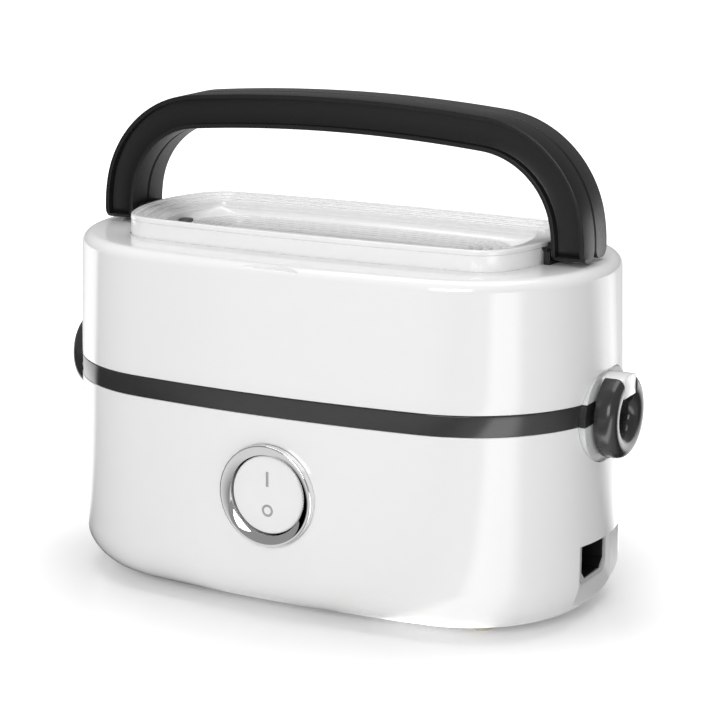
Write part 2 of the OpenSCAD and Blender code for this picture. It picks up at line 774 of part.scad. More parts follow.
module lid_top() color("whitesmoke") {
    difference() {
        union() {
            plate(boss, 0, shoulder_z - wall - 1, boss_z);
            // flange under the shoulder
            plate(boss, 4, shoulder_z - wall - 1.6, shoulder_z - wall - 0.05);
        }
        // terraces
        for (i = [1:terraces]) plate(boss, -1.6 - (i - 1) * terrace_w, terrace_z(i), boss_z + 1);
        for (i = [1:terraces]) difference() {
            plate(boss, -1.2 - (i - 1) * terrace_w, terrace_z(i) - 0.3, boss_z + 1 - i);
            plate(boss, -2 - (i - 1) * terrace_w, terrace_z(i) - 1, boss_z + 2);
        }
        // dish
        plate(boss, -terrace_zone, dish_z, boss_z + 1);
        // underside
        plate(boss, -wall, shoulder_z - wall - 5, dish_z - dish_t);
        // scoops in the ends of the oval, beside the hinges and under the rim
        mirror_x() intersection() {
            x_rod(bracket_x - scoop_in - 0.5, boss_l / 2 + 5, 0, boss_z + 3.4, scoop_r);
            union() {
                block(0, boss_l, -scoop_r, scoop_r, 0, boss_z - scoop_roof);
                block(boss_l / 2 - 1.1, boss_l, -scoop_r, scoop_r, 0, boss_z - terrace_drop);
            }
        }
        mirror_x() bracket_slot(0.15, 3);
        translate([-vent_x, 0, dish_z - dish_t - 1]) cylinder(h = dish_t + 2, r = 1.6);
    }
    // ridges in the floor
    for (i = [0:floor_rings - 1]) oval_ring(ring_outer, proud)
        translate([-i * ring_pitch, 0]) block2(-ring_w, 0, dish_z - 0.5, dish_z + ring_h);
    // posts for the bracket screws
    four_corners(bracket_screw_x, bracket_screw_y) translate([0, 0, bracket_z + bracket_foot_t]) difference() {
        cylinder(h = dish_z - dish_t - bracket_z - bracket_foot_t + 0.5, r = 3);
        translate([0, 0, -1]) cylinder(h = dish_z - dish_t - bracket_z - bracket_foot_t + 1, r = bracket_screw_r);
    }
    // blank round badge plate
    translate([badge_x, 0, dish_z - 0.5]) cylinder(h = 1.1, r = badge_r);
}

module vent_plug() color("gray") translate([-vent_x, 0, 0]) {
    translate([0, 0, dish_z]) cylinder(h = 1.2, r = vent_r);
    translate([0, 0, dish_z - dish_t - 2]) cylinder(h = dish_t + 2.5, r = 1.5);
    translate([0, 0, dish_z - dish_t - 2]) cylinder(h = 1.4, r = 2.4);
}

liner = inset(body, liner_in);

module lid_liner() color("whitesmoke") {
    difference() {
        union() {
            mirror_z_at(liner_z) tub(liner, liner_z, 2 * liner_z - gasket_top, 6, liner_t);
            // rim turned in over the seal
            oval_ring(liner, proud) block2(-gasket_in - gasket_w - 0.6, -liner_t / 2,
                                    gasket_top + 2 * proud, gasket_top + 2 * proud + liner_t);
            // posts up to the shoulder
            four_corners(liner_post[0], liner_post[1]) translate([0, 0, liner_z - 0.5])
                cylinder(h = shoulder_z - wall - liner_z + 0.4, r = 3);
        }
        mirror_x() seat_cut(2.4, seat_x - seat_back - 0.4, half_l + 5);
    }
}

// flips children top to bottom about a height
module mirror_z_at(z) {
    translate([0, 0, z]) mirror([0, 0, 1]) translate([0, 0, -z]) children();
}

module lid_gasket() color("lightgray") oval_ring(liner, proud) union() {
    low = pan_rim_z + pan_t + slip;
    block2(-gasket_in - gasket_w, -gasket_in, low, gasket_top);
    block2(-gasket_in - gasket_w - 0.8, -gasket_in, low, lid_z + 1.6);
}

// ---------- hinge brackets and bails ----------
module hinge_bracket() color("dimgray") difference() {
    union() {
        // plate with a round top over each pin, through the shoulder
        translate([bracket_x, 0, 0]) rotate([90, 0, 90]) linear_extrude(bracket_t) union() {
            for (side = [-1, 1]) translate([side * bail_y, hinge_z]) circle(bracket_h);
            block2(-bail_y, bail_y, hinge_z - bracket_h, hinge_z + bracket_h - 0.6);
            block2(-bracket_w, bracket_w, bracket_z + 1, hinge_z - 1);
        }
        // foot under the shoulder
        block(bracket_x - 12, bracket_x + bracket_t, -bracket_w, bracket_w, bracket_z, bracket_z + bracket_foot_t);
    }
    for (side = [-1, 1]) x_rod(bracket_x - 1, bracket_x + bracket_t + 1, side * bail_y, hinge_z, bail_pin_r);
    for (side = [-1, 1]) translate([bracket_screw_x, side * bracket_screw_y, bracket_z - 1])
        cylinder(h = bracket_foot_t + 2, r = bracket_screw_r + 0.1);
}

module hinge_bracket_right() hinge_bracket();
module hinge_bracket_left() mirror([1, 0, 0]) hinge_bracket();

module bracket_screws() color("silver")
    four_corners(bracket_screw_x, bracket_screw_y) translate([0, 0, bracket_z]) {
        translate([0, 0, -0.8]) cylinder(h = 0.8, r = 2.4);
        translate([0, 0, -0.4]) cylinder(h = bracket_foot_t + 3, r = bracket_screw_r);
    }

module bail_pins() color("silver") mirror_x() for (side = [-1, 1])
    x_rod(bracket_x, pin_end_x, side * bail_y, hinge_z, bail_pin_r);

// outline of a bail seen from the front: x, height above the hinge pins
module bail_outline(off) {
    difference() {
        union() {
            intersection() {
                oval(bail, off);
                block2(-bail_l, bail_l, 0, bail_l);
            }
            block2(-bail_l / 2 - off, bail_l / 2 + off, -bail_foot - off, eps);
        }
        intersection() {
            oval(bail, -bail_band - off);
            block2(-bail_l, bail_l, -eps, bail_l);
        }
        block2(-bail_in_x + off, bail_in_x - off, -bail_foot - off - 1, 0);
    }
}

// section of a bail's foot seen from its end, round at both lower corners
module foot_mask() {
    h = bail_t / 2;
    r = bail_foot_r;
    block2(-h, h, -bail_foot + r, 2 * bail_rise);
    block2(-h + r, h - r, -bail_foot, r);
    for (side = [-1, 1]) translate([side * (h - r), -bail_foot + r]) circle(r);
}

// front bail about its own hinge axis, channel open to the front
module bail_body() difference() {
    intersection() {
        translate([0, bail_t / 2, 0]) rotate([90, 0, 0]) linear_extrude(bail_t) bail_outline(0);
        translate([-bail_l, 0, 0]) rotate([90, 0, 90]) linear_extrude(2 * bail_l) foot_mask();
    }
    translate([0, bail_channel - bail_t / 2, 0]) rotate([90, 0, 0]) linear_extrude(bail_t)
        bail_outline(-bail_rim);
    mirror_x() x_rod(bail_in_x - 1, pin_end_x + slip, 0, 0, bail_pin_r + fit);
}

module bail_front() color("dimgray") translate([0, -bail_y, hinge_z]) bail_body();
module bail_rear() color("dimgray") translate([0, bail_y, hinge_z]) mirror([0, 1, 0]) bail_body();

base_shell();
bottom_cover();
rubber_feet();
bottom_screws();
trim_band();
water_pan();
heater_plate();
heating_element();
thermostat();
thermal_fuse();
heater_clamp();
clamp_nuts();
switch_bezel();
switch_body();
switch_rocker();
inlet_housing();
inlet_blades();
latch_ring_left();
latch_ring_right();
latch_pin_left();
latch_pin_right();
steam_rack();
food_bowl_left();
food_bowl_right();
bowl_cover_left();
bowl_cover_right();
lid_shell();
latch_lug_left();
latch_lug_right();
lid_top();
lid_liner();
lid_gasket();
vent_plug();
hinge_bracket_left();
hinge_bracket_right();
bracket_screws();
bail_pins();
bail_front();
bail_rear();
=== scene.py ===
"""Dresses the electric lunch box: smooth mouldings, finishes, studio and camera.

All sizes are in millimetres here and become metres when a mesh is made. The
frame is the one of the solids: +X to the inlet, -Y to the switch, +Z up.
"""

from __future__ import annotations

import logging
import math
from dataclasses import dataclass, field
from enum import Enum
from typing import Callable, Sequence

import bmesh
import bpy
from mathutils import Matrix, Vector
from mathutils.bvhtree import BVHTree
from mathutils.interpolate import poly_3d_calc


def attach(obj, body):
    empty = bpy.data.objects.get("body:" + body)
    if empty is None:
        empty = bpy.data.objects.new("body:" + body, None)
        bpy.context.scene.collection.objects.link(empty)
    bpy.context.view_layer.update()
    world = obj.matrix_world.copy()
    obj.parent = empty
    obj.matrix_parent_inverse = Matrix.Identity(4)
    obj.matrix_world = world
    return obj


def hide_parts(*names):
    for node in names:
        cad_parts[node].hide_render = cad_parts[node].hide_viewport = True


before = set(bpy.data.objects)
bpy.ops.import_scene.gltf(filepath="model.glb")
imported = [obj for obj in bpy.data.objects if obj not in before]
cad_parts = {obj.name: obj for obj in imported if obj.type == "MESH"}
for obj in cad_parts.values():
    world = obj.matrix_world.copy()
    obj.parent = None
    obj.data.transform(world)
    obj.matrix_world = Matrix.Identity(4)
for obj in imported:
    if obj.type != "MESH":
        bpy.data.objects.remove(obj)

LOG = logging.getLogger("lunch_box")
MM = 0.001
SHARP = 32.0  # degrees between faces above which an edge is sharp
MERGE = 1e-7  # metres within which points are one

Point = tuple[float, float, float]
Flat = tuple[float, float]
Counts = tuple[int, int, int]
Object = bpy.types.Object

X_AXIS: Point = (1, 0, 0)
Y_AXIS: Point = (0, 1, 0)


class Body(Enum):
    """Bodies of the assembly that the dressed pieces ride on."""

    BASE = "base"
    SWITCH = "switch"
    LATCH_LEFT = "latch_left"
    LATCH_RIGHT = "latch_right"
    BOWL_LEFT = "bowl_left"
    BOWL_RIGHT = "bowl_right"
    COVER_LEFT = "cover_left"
    COVER_RIGHT = "cover_right"
    LID = "lid"
    FRONT_BAIL = "front_bail"
    REAR_BAIL = "rear_bail"


class Cut(Enum):
    """Ways in which one closed mesh changes another."""

    AWAY = "DIFFERENCE"
    JOIN = "UNION"
    COMMON = "INTERSECT"


Change = tuple[Cut, Object]


# ---------------------------------------------------------------- geometry


@dataclass(frozen=True)
class Outline:
    """Oval of tangent arcs: two end arcs, two side arcs and four corner arcs."""

    half_l: float
    half_w: float
    corner_r: float
    side_bow: float
    end_bow: float

    @property
    def corner(self) -> Flat:
        """Centre of the corner arc in the first quarter."""
        return (
            self.half_l - self.corner_r - self.end_bow,
            self.half_w - self.corner_r - self.side_bow,
        )

    @property
    def end_r(self) -> float:
        """Radius of the end arcs."""
        cy, b, r = self.corner[1], self.end_bow, self.corner_r
        return (cy * cy + b * b + 2 * r * b) / (2 * b)

    @property
    def side_r(self) -> float:
        """Radius of the side arcs."""
        cx, b, r = self.corner[0], self.side_bow, self.corner_r
        return (cx * cx + b * b + 2 * r * b) / (2 * b)

    def quarter(self, off: float, counts: Counts) -> list[Flat]:
        """Points of the first quarter, from the +X axis to just before the +Y axis.

        Args:
            off: Distance that the outline is grown by.
            counts: Number of steps in the end, corner and side arcs.

        Returns:
            The points, in order.
        """
        cx, cy = self.corner
        ex, sy = self.half_l - self.end_r, self.half_w - self.side_r
        te, ts = math.atan2(cy, cx - ex), math.atan2(cy - sy, cx)
        out: list[Flat] = []
        spans = (
            ((ex, 0.0), self.end_r, 0.0, te, counts[0]),
            ((cx, cy), self.corner_r, te, ts, counts[1]),
            ((0.0, sy), self.side_r, ts, math.pi / 2, counts[2]),
        )
        for (px, py), r, a0, a1, n in spans:
            for i in range(n):
                a = a0 + (a1 - a0) * i / n
                out.append((px + (r + off) * math.cos(a), py + (r + off) * math.sin(a)))
        return out

    def ring(self, off: float, z: float, counts: Counts = (10, 30, 22)) -> list[Point]:
        """The whole outline as a ring of points at one height.

        Args:
            off: Distance that the outline is grown by.
            z: Height of the ring.
            counts: Number of steps in the end, corner and side arcs.

        Returns:
            The ring's points, counter-clockwise seen from above.
        """
        q = self.quarter(off, counts)
        upper = q + [(0.0, self.half_w + off)] + [(-x, y) for x, y in reversed(q[1:])]
        upper.append((-self.half_l - off, 0.0))
        lower = [(x, -y) for x, y in reversed(upper[1:-1])]
        return [(x, y, z) for x, y in upper + lower]

    def rings(self, section: Sequence[Flat]) -> list[list[Point]]:
        """One ring for each (offset, height) of a section."""
        return [self.ring(off, z) for off, z in section]

    def inset(self, d: float) -> Outline:
        """The outline drawn d further in."""
        half_l, half_w, corner_r = self.half_l - d, self.half_w - d, self.corner_r - d
        return Outline(half_l, half_w, corner_r, self.side_bow, self.end_bow)


def arc(cx: float, cy: float, r: float, a0: float, a1: float, n: int) -> list[Flat]:
    """Points of an arc, both ends included, with angles in degrees."""
    turns = [math.radians(a0 + (a1 - a0) * i / n) for i in range(n + 1)]
    return [(cx + r * math.cos(a), cy + r * math.sin(a)) for a in turns]


def smooth(obj: Object, sharp: float = SHARP) -> None:
    """Shades an object smooth, with sharp edges above an angle in degrees."""
    obj.data.shade_smooth()
    obj.data.set_sharp_from_angle(angle=math.radians(sharp))


def close_up(name: str, bm: bmesh.types.BMesh, sharp: float) -> Object:
    """Merges doubles, turns the faces outwards and makes the object.

    Args:
        name: Name of the object.
        bm: The shape in metres; it is freed.
        sharp: Angle in degrees above which an edge is sharp.

    Returns:
        The new object.
    """
    bmesh.ops.remove_doubles(bm, verts=bm.verts, dist=MERGE)
    bmesh.ops.recalc_face_normals(bm, faces=bm.faces)
    mesh = bpy.data.meshes.new(name)
    bm.to_mesh(mesh)
    bm.free()
    obj = bpy.data.objects.new(name, mesh)
    bpy.context.scene.collection.objects.link(obj)
    smooth(obj, sharp)
    return obj


def loft(
    name: str, rows: Sequence[Sequence[Point]], loop: bool = False, sharp: float = SHARP
) -> Object:
    """Extrudes a ring through others of equal length.

    Args:
        name: Name of the object.
        rows: The rings, in order.
        loop: Whether the last ring joins the first instead of both being capped.
        sharp: Angle in degrees above which an edge is sharp.

    Returns:
        The closed object.
    """
    bm = bmesh.new()
    ring = [bm.verts.new(Vector(p) * MM) for p in rows[0]]
    edges = [bm.edges.new(pair) for pair in zip(ring, ring[1:] + ring[:1])]
    first = list(edges)
    for row in list(rows[1:]) + ([rows[0]] if loop else []):
        made = bmesh.ops.extrude_edge_only(bm, edges=edges)["geom"]
        edges = [g for g in made if isinstance(g, bmesh.types.BMEdge)]
        verts = [g for g in made if isinstance(g, bmesh.types.BMVert)]
        for vert, p in zip(verts, row):
            vert.co = Vector(p) * MM
    if not loop:
        for rim in (first, edges):
            bmesh.ops.contextual_create(bm, geom=rim)
    return close_up(name, bm, sharp)


def sweep(name: str, outline: Outline, section: Sequence[Flat], loop: bool = True) -> Object:
    """Sweeps a section round an outline; section points are (offset, height)."""
    return loft(name, outline.rings(section), loop)


def turn(
    name: str,
    section: Sequence[Flat],
    steps: int = 96,
    loop: bool = False,
    sharp: float = SHARP,
) -> Object:
    """Turns a section of (radius, height) about the Z axis.

    Args:
        name: Name of the object.
        section: Points of the section; a radius of 0 closes the end.
        steps: Number of steps in the turn.
        loop: Whether the section is a closed loop off the axis.
        sharp: Angle in degrees above which an edge is sharp.

    Returns:
        The closed object.
    """
    bm = bmesh.new()
    verts = [bm.verts.new(Vector((r, 0.0, z)) * MM) for r, z in section]
    follow = verts[1:] + verts[:1] if loop else verts[1:]
    edges = [bm.edges.new(pair) for pair in zip(verts, follow)]
    bmesh.ops.spin(
        bm, geom=verts + edges, cent=(0, 0, 0), axis=(0, 0, 1), angle=2 * math.pi,
        steps=steps, use_merge=True,
    )
    return close_up(name, bm, sharp)


def prism(
    name: str, flat: Sequence[Flat], lo: float, hi: float, axes: str = "YZX"
) -> Object:
    """Extrudes a flat outline along an axis.

    Args:
        name: Name of the object.
        flat: Outline points in the first two axes.
        lo: Start along the third axis.
        hi: End along the third axis.
        axes: Names of the outline's two axes and the extrusion's axis.

    Returns:
        The closed object.
    """
    order = [axes.index(a) for a in "XYZ"]
    rows = [[tuple((u, v, w)[i] for i in order) for u, v in flat] for w in (lo, hi)]
    return loft(name, rows)


def box(name: str, lo: Point, hi: Point, bevel: float = 0.0) -> Object:
    """Makes a block between two corners.

    Args:
        name: Name of the object.
        lo: Its lowest corner.
        hi: Its highest corner.
        bevel: Radius of its edges, or 0 for sharp ones.

    Returns:
        The closed object.
    """
    flat = [(lo[1], lo[2]), (hi[1], lo[2]), (hi[1], hi[2]), (lo[1], hi[2])]
    obj = prism(name, flat, lo[0], hi[0])
    if bevel:
        round_edges(obj, bevel)
    return obj


def round_edges(obj: Object, width: float, segments: int = 3, angle: float = 30.0) -> None:
    """Rounds an object's sharp edges.

    Args:
        obj: The object.
        width: Width of the bevel in millimetres.
        segments: Number of its segments.
        angle: Angle in degrees above which an edge is rounded.
    """
    bm = bmesh.new()
    bm.from_mesh(obj.data)
    limit = math.radians(angle)
    edges = [e for e in bm.edges if len(e.link_faces) == 2 and e.calc_face_angle(0) > limit]
    bmesh.ops.bevel(
        bm, geom=edges, offset=width * MM, offset_type="OFFSET", segments=segments,
        profile=0.5, affect="EDGES", clamp_overlap=True, material=-1,
    )
    bm.to_mesh(obj.data)
    bm.free()
    smooth(obj)


def move(obj: Object, place: Point, tilt: str = "") -> Object:
    """Turns an object's Z axis to +X or -Y and shifts its mesh.

    Args:
        obj: The object.
        place: The shift in millimetres.
        tilt: Axis of a quarter turn before the shift: Y for +X, X for -Y.

    Returns:
        The object.
    """
    matrix = Matrix.Translation(Vector(place) * MM)
    if tilt:
        matrix = matrix @ Matrix.Rotation(math.pi / 2, 4, tilt)
    obj.data.transform(matrix)
    smooth(obj)
    return obj


def flip(obj: Object, axis: Point = X_AXIS) -> Object:
    """Mirrors an object's mesh across the middle of the box.

    Args:
        obj: The object.
        axis: Axis that changes its sign.

    Returns:
        The object.
    """
    obj.data.transform(Matrix.Scale(-1, 4, axis))
    obj.data.flip_normals()
    return obj


def mirrored(obj: Object, name: str, axis: Point = X_AXIS) -> Object:
    """Makes a mirrored copy of an object.

    Args:
        obj: The object.
        name: Name of the copy.
        axis: Axis that changes its sign.

    Returns:
        The copy.
    """
    twin = bpy.data.objects.new(name, obj.data.copy())
    bpy.context.scene.collection.objects.link(twin)
    smooth(flip(twin, axis))
    return twin


def both_ends(kind: Cut, make: Callable[[], Object]) -> list[Change]:
    """The same change at the right end and, mirrored, at the left end."""
    return [(kind, make()), (kind, flip(make()))]


def carve(obj: Object, *changes: Change) -> Object:
    """Changes a mesh by others, and deletes those others.

    Args:
        obj: The object that is changed.
        *changes: Pairs of a way to change it and the mesh that does it.

    Returns:
        The object.
    """
    for kind, tool in changes:
        mod = obj.modifiers.new("carve", "BOOLEAN")
        mod.operation = kind.value
        mod.solver = "EXACT"
        mod.object = tool
        view = bpy.context.evaluated_depsgraph_get()
        mesh = bpy.data.meshes.new_from_object(obj.evaluated_get(view))
        obj.modifiers.clear()
        obj.data = mesh
        bpy.data.objects.remove(tool, do_unlink=True)
    smooth(obj)
    return obj


def carve_smooth(obj: Object, *changes: Change) -> None:
    """Carves a mesh and keeps the shading of the surfaces that stay.

    Args:
        obj: The object that is changed.
        *changes: Pairs of a way to change it and the mesh that does it.
    """
    before = obj.data.copy()
    bm = bmesh.new()
    bm.from_mesh(before)
    tree = BVHTree.FromBMesh(bm)
    bm.free()
    carve(obj, *changes)
    keep_normals(obj, tree, before)


def keep_normals(obj: Object, source: BVHTree, mesh: bpy.types.Mesh) -> None:
    """Gives faces that lie on the uncut surface the normals of that surface.

    Args:
        obj: The carved object.
        source: Search tree of the uncut mesh.
        mesh: The uncut mesh.
    """
    reach, same_face, same_side, inward, sharp = 0.02 * MM, 0.97, 0.9, 0.02, 24
    data = obj.data
    smooth(obj, sharp)
    normals = [Vector(n.vector) for n in data.corner_normals]
    base = [Vector(n.vector) for n in mesh.corner_normals]
    for poly in data.polygons:
        spot, normal, _, gap = source.find_nearest(poly.center)
        if spot is None or gap > reach or normal.dot(poly.normal) < same_face:
            continue
        for li in poly.loop_indices:
            co = data.vertices[data.loops[li].vertex_index].co
            near, face_n, index, _ = source.find_nearest(co.lerp(poly.center, inward))
            if near is None or face_n.dot(poly.normal) < same_side:
                continue
            face = mesh.polygons[index]
            corners = [mesh.vertices[v].co for v in face.vertices]
            total = Vector()
            for w, base_li in zip(poly_3d_calc(corners, near), face.loop_indices):
                total += base[base_li] * w
            if total.length > 0.5:
                normals[li] = total.normalized()
    data.normals_split_custom_set([tuple(n) for n in normals])


# ---------------------------------------------------------------- shared sizes

BODY = Outline(115.0, 63.6, 58.0, 3.0, 0.4)
BOSS = Outline(90.4, 39.1, 16.0, 2.6, 4.5)
DISH_RINGS = Outline(71.0, 21.0, 17.0, 0.8, 2.4)
DISH_FLOOR = Outline(77.6, 22.4, 17.5, 0.9, 3.0)
PAN = BODY.inset(16.0)
LINER = BODY.inset(4.4)
BOWL = Outline(45.075, 37.43, 24.0, 0.8, 0.8)
BASE_Z, BAND_Z, LID_Z, SHOULDER_Z, BOSS_Z = 2.0, 82.0, 90.2, 141.0, 149.1
SEAT_X, LATCH_Z, LATCH_R = 110.0, 83.0, 16.8
PIVOT_X, PIVOT_Z = 118.6, 68.9
SWITCH_Z, SWITCH_Y = 50.9, -66.8
INLET_Z = 25.6
PAST_X = 120.0  # beyond the wall at the right end


def stadium(half: float, r: float, z: float, n: int = 24) -> list[Flat]:
    """Slot outline round (0, z): two half circles of radius r, half apart."""
    return arc(half, z, r, -90, 90, n) + arc(-half, z, r, 90, 270, n)


def seat(grow: float, x0: float = SEAT_X) -> Object:
    """A prism from x0 outwards over the flat latch seat at the right end."""
    return prism("seat", stadium(4.0, 18.0 + grow, LATCH_Z), x0, PAST_X)


def seat_plate(section: Sequence[Flat]) -> Object:
    """The wall behind a latch seat, as far as a section swept round the body."""
    return carve(sweep("core", BODY, section), (Cut.COMMON, seat(1.8, SEAT_X - 2.4)))


def pocket(grow: float) -> list[Flat]:
    """Outline of the inlet pocket, with round lower corners.

    Args:
        grow: Distance that it is grown by.

    Returns:
        Its points in Y and Z.
    """
    w, r, low, top = 19.4 + grow, 6 + grow, 7.6 - grow, 34.0 + grow
    corners = arc(-w + r, low + r, r, 180, 270, 8) + arc(w - r, low + r, r, 270, 360, 8)
    return corners + [(w, top), (-w, top)]


def mouth(grow: float) -> list[Flat]:
    """Outline of the inlet mouth, with two lower corners cut off.

    Args:
        grow: Distance that it is grown by.

    Returns:
        Its points in Y and Z.
    """
    w, h, c = 11.0 + grow, 7.8 + grow, 3.4
    pts = [(-w, h), (-w, -h + c), (-w + c, -h), (w - c, -h), (w, -h + c), (w, h)]
    return [(y, INLET_Z + z) for y, z in pts]


# ---------------------------------------------------------------- finishes

Colour = tuple[float, float, float]
Key = str | int


class Nodes:
    """Small helper that adds and links shader nodes."""

    def __init__(self, tree: bpy.types.NodeTree) -> None:
        """Keeps the tree and empties it."""
        self.tree = tree
        tree.nodes.clear()

    def add(self, kind: str, **values: object) -> bpy.types.Node:
        """Adds a node and sets attributes or input values by name.

        Args:
            kind: Type name of the node, without its leading word.
            **values: Attributes, or inputs by their name with spaces as underscores.

        Returns:
            The node.
        """
        node = self.tree.nodes.new(kind if kind.startswith("Node") else "ShaderNode" + kind)
        for key, value in values.items():
            if hasattr(node, key):
                setattr(node, key, value)
            else:
                node.inputs[key.replace("_", " ")].default_value = value
        return node

    def wire(self, a: bpy.types.Node, out: Key, b: bpy.types.Node, into: Key) -> None:
        """Links an output of one node to an input of another."""
        self.tree.links.new(a.outputs[out], b.inputs[into])


class Effect(Enum):
    """Shared shader node groups: mottled tone, brushed lines and fine grain."""

    MOTTLE = "fx_mottle"
    BRUSHED = "fx_brushed"
    GRAIN = "fx_grain"

    def build(self) -> None:
        """Builds the group, which gives a value, a mask and a normal."""
        brushed, grain = self is Effect.BRUSHED, self is Effect.GRAIN
        group = bpy.data.node_groups.new(self.value, "ShaderNodeTree")
        n = Nodes(group)
        plug = group.interface.new_socket
        inputs = {"Scale": 100.0, "Low": 0.2, "High": 0.3, "Bump": 0.05}
        for name, value in inputs.items():
            plug(name, in_out="INPUT", socket_type="NodeSocketFloat").default_value = value
        for name, kind in (("Value", "Float"), ("Mask", "Float"), ("Normal", "Vector")):
            plug(name, in_out="OUTPUT", socket_type="NodeSocket" + kind)
        gin, gout = n.add("NodeGroupInput"), n.add("NodeGroupOutput")
        coord = n.add("TexCoord")
        stretch = n.add("Mapping", Scale=(0.06, 1.0, 1.0) if brushed else (1.0, 1.0, 1.0))
        n.wire(coord, "Object", stretch, "Vector")
        noise = n.add("TexNoise", Detail=6.0 if brushed else 3.0, Roughness=0.65 if grain else 0.5)
        n.wire(stretch, "Vector", noise, "Vector")
        n.wire(gin, "Scale", noise, "Scale")
        ramp = n.add("MapRange", From_Min=0.3, From_Max=0.7)
        n.wire(noise, "Fac", ramp, "Value")
        n.wire(gin, "Low", ramp, "To Min")
        n.wire(gin, "High", ramp, "To Max")
        n.wire(ramp, "Result", gout, "Value")
        fine = n.add("TexVoronoi" if grain else "TexNoise")
        n.wire(stretch, "Vector", fine, "Vector")
        times = n.add("Math", operation="MULTIPLY")
        times.inputs[1].default_value = 3.7
        n.wire(gin, "Scale", times, 0)
        n.wire(times, 0, fine, "Scale")
        bump = n.add("Bump", Distance=0.0004)
        n.wire(gin, "Bump", bump, "Strength")
        n.wire(fine, 0, bump, "Height")
        n.wire(bump, "Normal", gout, "Normal")
        n.wire(fine, 0, gout, "Mask")


@dataclass(frozen=True)
class Finish:
    """A procedural finish: base colours, gloss range and relief."""

    name: str
    light: Colour
    dark: Colour
    gloss: tuple[float, float]
    effect: Effect = Effect.MOTTLE
    scale: float = 60.0
    bump: float = 0.02
    metallic: float = 0.0
    coat: float = 0.0
    subsurface: float = 0.0
    alpha: float = 1.0
    ior: float = 1.47

    def material(self) -> bpy.types.Material:
        """Builds the material, or finds it if it exists.

        Returns:
            The material.
        """
        name = "finish_" + self.name
        known = bpy.data.materials.get(name)
        if known:
            return known
        mat = bpy.data.materials.new(name)
        mat.use_nodes = True
        n = Nodes(mat.node_tree)
        out = n.add("OutputMaterial")
        shader = n.add(
            "BsdfPrincipled", Metallic=self.metallic, Coat_Weight=self.coat,
            Coat_Roughness=0.06, IOR=self.ior,
        )
        fx = n.add("Group", node_tree=bpy.data.node_groups[self.effect.value])
        values = {"Scale": self.scale, "Low": self.gloss[0], "High": self.gloss[1]}
        for key, value in {**values, "Bump": self.bump}.items():
            fx.inputs[key].default_value = value
        mix = n.add("Mix", data_type="RGBA")
        colour_a, colour_b, colour_out = 6, 7, 2  # its sockets for colours
        mix.inputs[colour_a].default_value = (*self.dark, 1.0)
        mix.inputs[colour_b].default_value = (*self.light, 1.0)
        n.wire(fx, "Mask", mix, 0)
        n.wire(mix, colour_out, shader, "Base Color")
        n.wire(fx, "Value", shader, "Roughness")
        n.wire(fx, "Normal", shader, "Normal")
        if self.subsurface:
            shader.inputs["Subsurface Weight"].default_value = self.subsurface
            shader.inputs["Subsurface Radius"].default_value = (0.003, 0.003, 0.003)
            shader.inputs["Subsurface Scale"].default_value = 0.5
        if self.alpha < 1:
            shader.inputs["Alpha"].default_value = self.alpha
        n.wire(shader, "BSDF", out, "Surface")
        return mat


def grey(name: str, light: float, dark: float, *rest: object, **more: float) -> Finish:
    """A finish between two greys; the other values are those of Finish."""
    return Finish(name, (light,) * 3, (dark,) * 3, *rest, **more)


GRAIN, BRUSHED = Effect.GRAIN, Effect.BRUSHED
WHITE = Finish("white_gloss", (0.90, 0.90, 0.895), (0.885, 0.885, 0.88), (0.05, 0.09), scale=45,
               bump=0.008, coat=0.15)
DISH = grey("dish_white", 0.91, 0.89, (0.06, 0.11), scale=60, bump=0.008, coat=0.2)
INNER = Finish("liner_white", (0.78, 0.78, 0.77), (0.75, 0.75, 0.74), (0.30, 0.42), GRAIN, 250,
               0.05)
BAND = grey("band_grey", 0.042, 0.036, (0.10, 0.16), scale=70, bump=0.01)
RING = grey("latch_grey", 0.038, 0.030, (0.16, 0.26), scale=90, bump=0.01, coat=0.1)
BAIL = grey("bail_grey", 0.016, 0.012, (0.30, 0.40), GRAIN, 700, 0.05, ior=1.36)
# Black of the switch body and inlet housing; on the band's seat flats it is painted shade for their
# darker reflection.
BLACK_AND_SHADE = grey("black_moulding_and_painted_shade", 0.012, 0.008, (0.35, 0.5), GRAIN, 500, 0.10)
PAD = Finish("seat_pad", (0.66, 0.68, 0.67), (0.60, 0.63, 0.62), (0.25, 0.38), GRAIN, 500, 0.04,
             subsurface=0.3)
PALE = grey("pale_grey_moulding", 0.62, 0.58, (0.35, 0.45), GRAIN, 400, 0.06)
CHROME = grey("chrome", 0.86, 0.82, (0.02, 0.05), scale=30, bump=0.003, metallic=1.0)
STEEL = grey("stainless", 0.62, 0.52, (0.22, 0.34), BRUSHED, 900, 0.10, metallic=1.0)
PIN = grey("pin_steel", 0.55, 0.45, (0.2, 0.3), BRUSHED, 600, 0.05, metallic=1.0)
CAST = grey("cast_aluminium", 0.60, 0.45, (0.4, 0.55), GRAIN, 350, 0.25, metallic=1.0)
TUBE = Finish("oxidised_tube", (0.20, 0.18, 0.16), (0.12, 0.11, 0.10), (0.35, 0.5), scale=300,
              bump=0.1, metallic=0.9)
BRASS = Finish("brass", (0.75, 0.58, 0.28), (0.62, 0.46, 0.2), (0.2, 0.32), BRUSHED, 700, 0.06,
               metallic=1.0)
IVORY = Finish("ivory_rubber", (0.80, 0.74, 0.60), (0.74, 0.68, 0.54), (0.5, 0.62), GRAIN, 500,
               0.08, subsurface=0.2)
SEAL = grey("grey_silicone", 0.34, 0.30, (0.45, 0.6), GRAIN, 400, 0.06)
VENT = grey("vent_silicone", 0.13, 0.10, (0.4, 0.55), GRAIN, 600, 0.08)
CERAMIC = Finish("ceramic", (0.74, 0.70, 0.60), (0.68, 0.63, 0.53), (0.4, 0.5), GRAIN, 500, 0.1)
CLEAR = Finish("clear_cover", (0.86, 0.88, 0.90), (0.82, 0.85, 0.87), (0.08, 0.16), scale=90,
               bump=0.02, alpha=0.55)
MARK = grey("switch_mark", 0.42, 0.38, (0.35, 0.45), GRAIN, 900, 0.05)


# ---------------------------------------------------------------- sub-assemblies


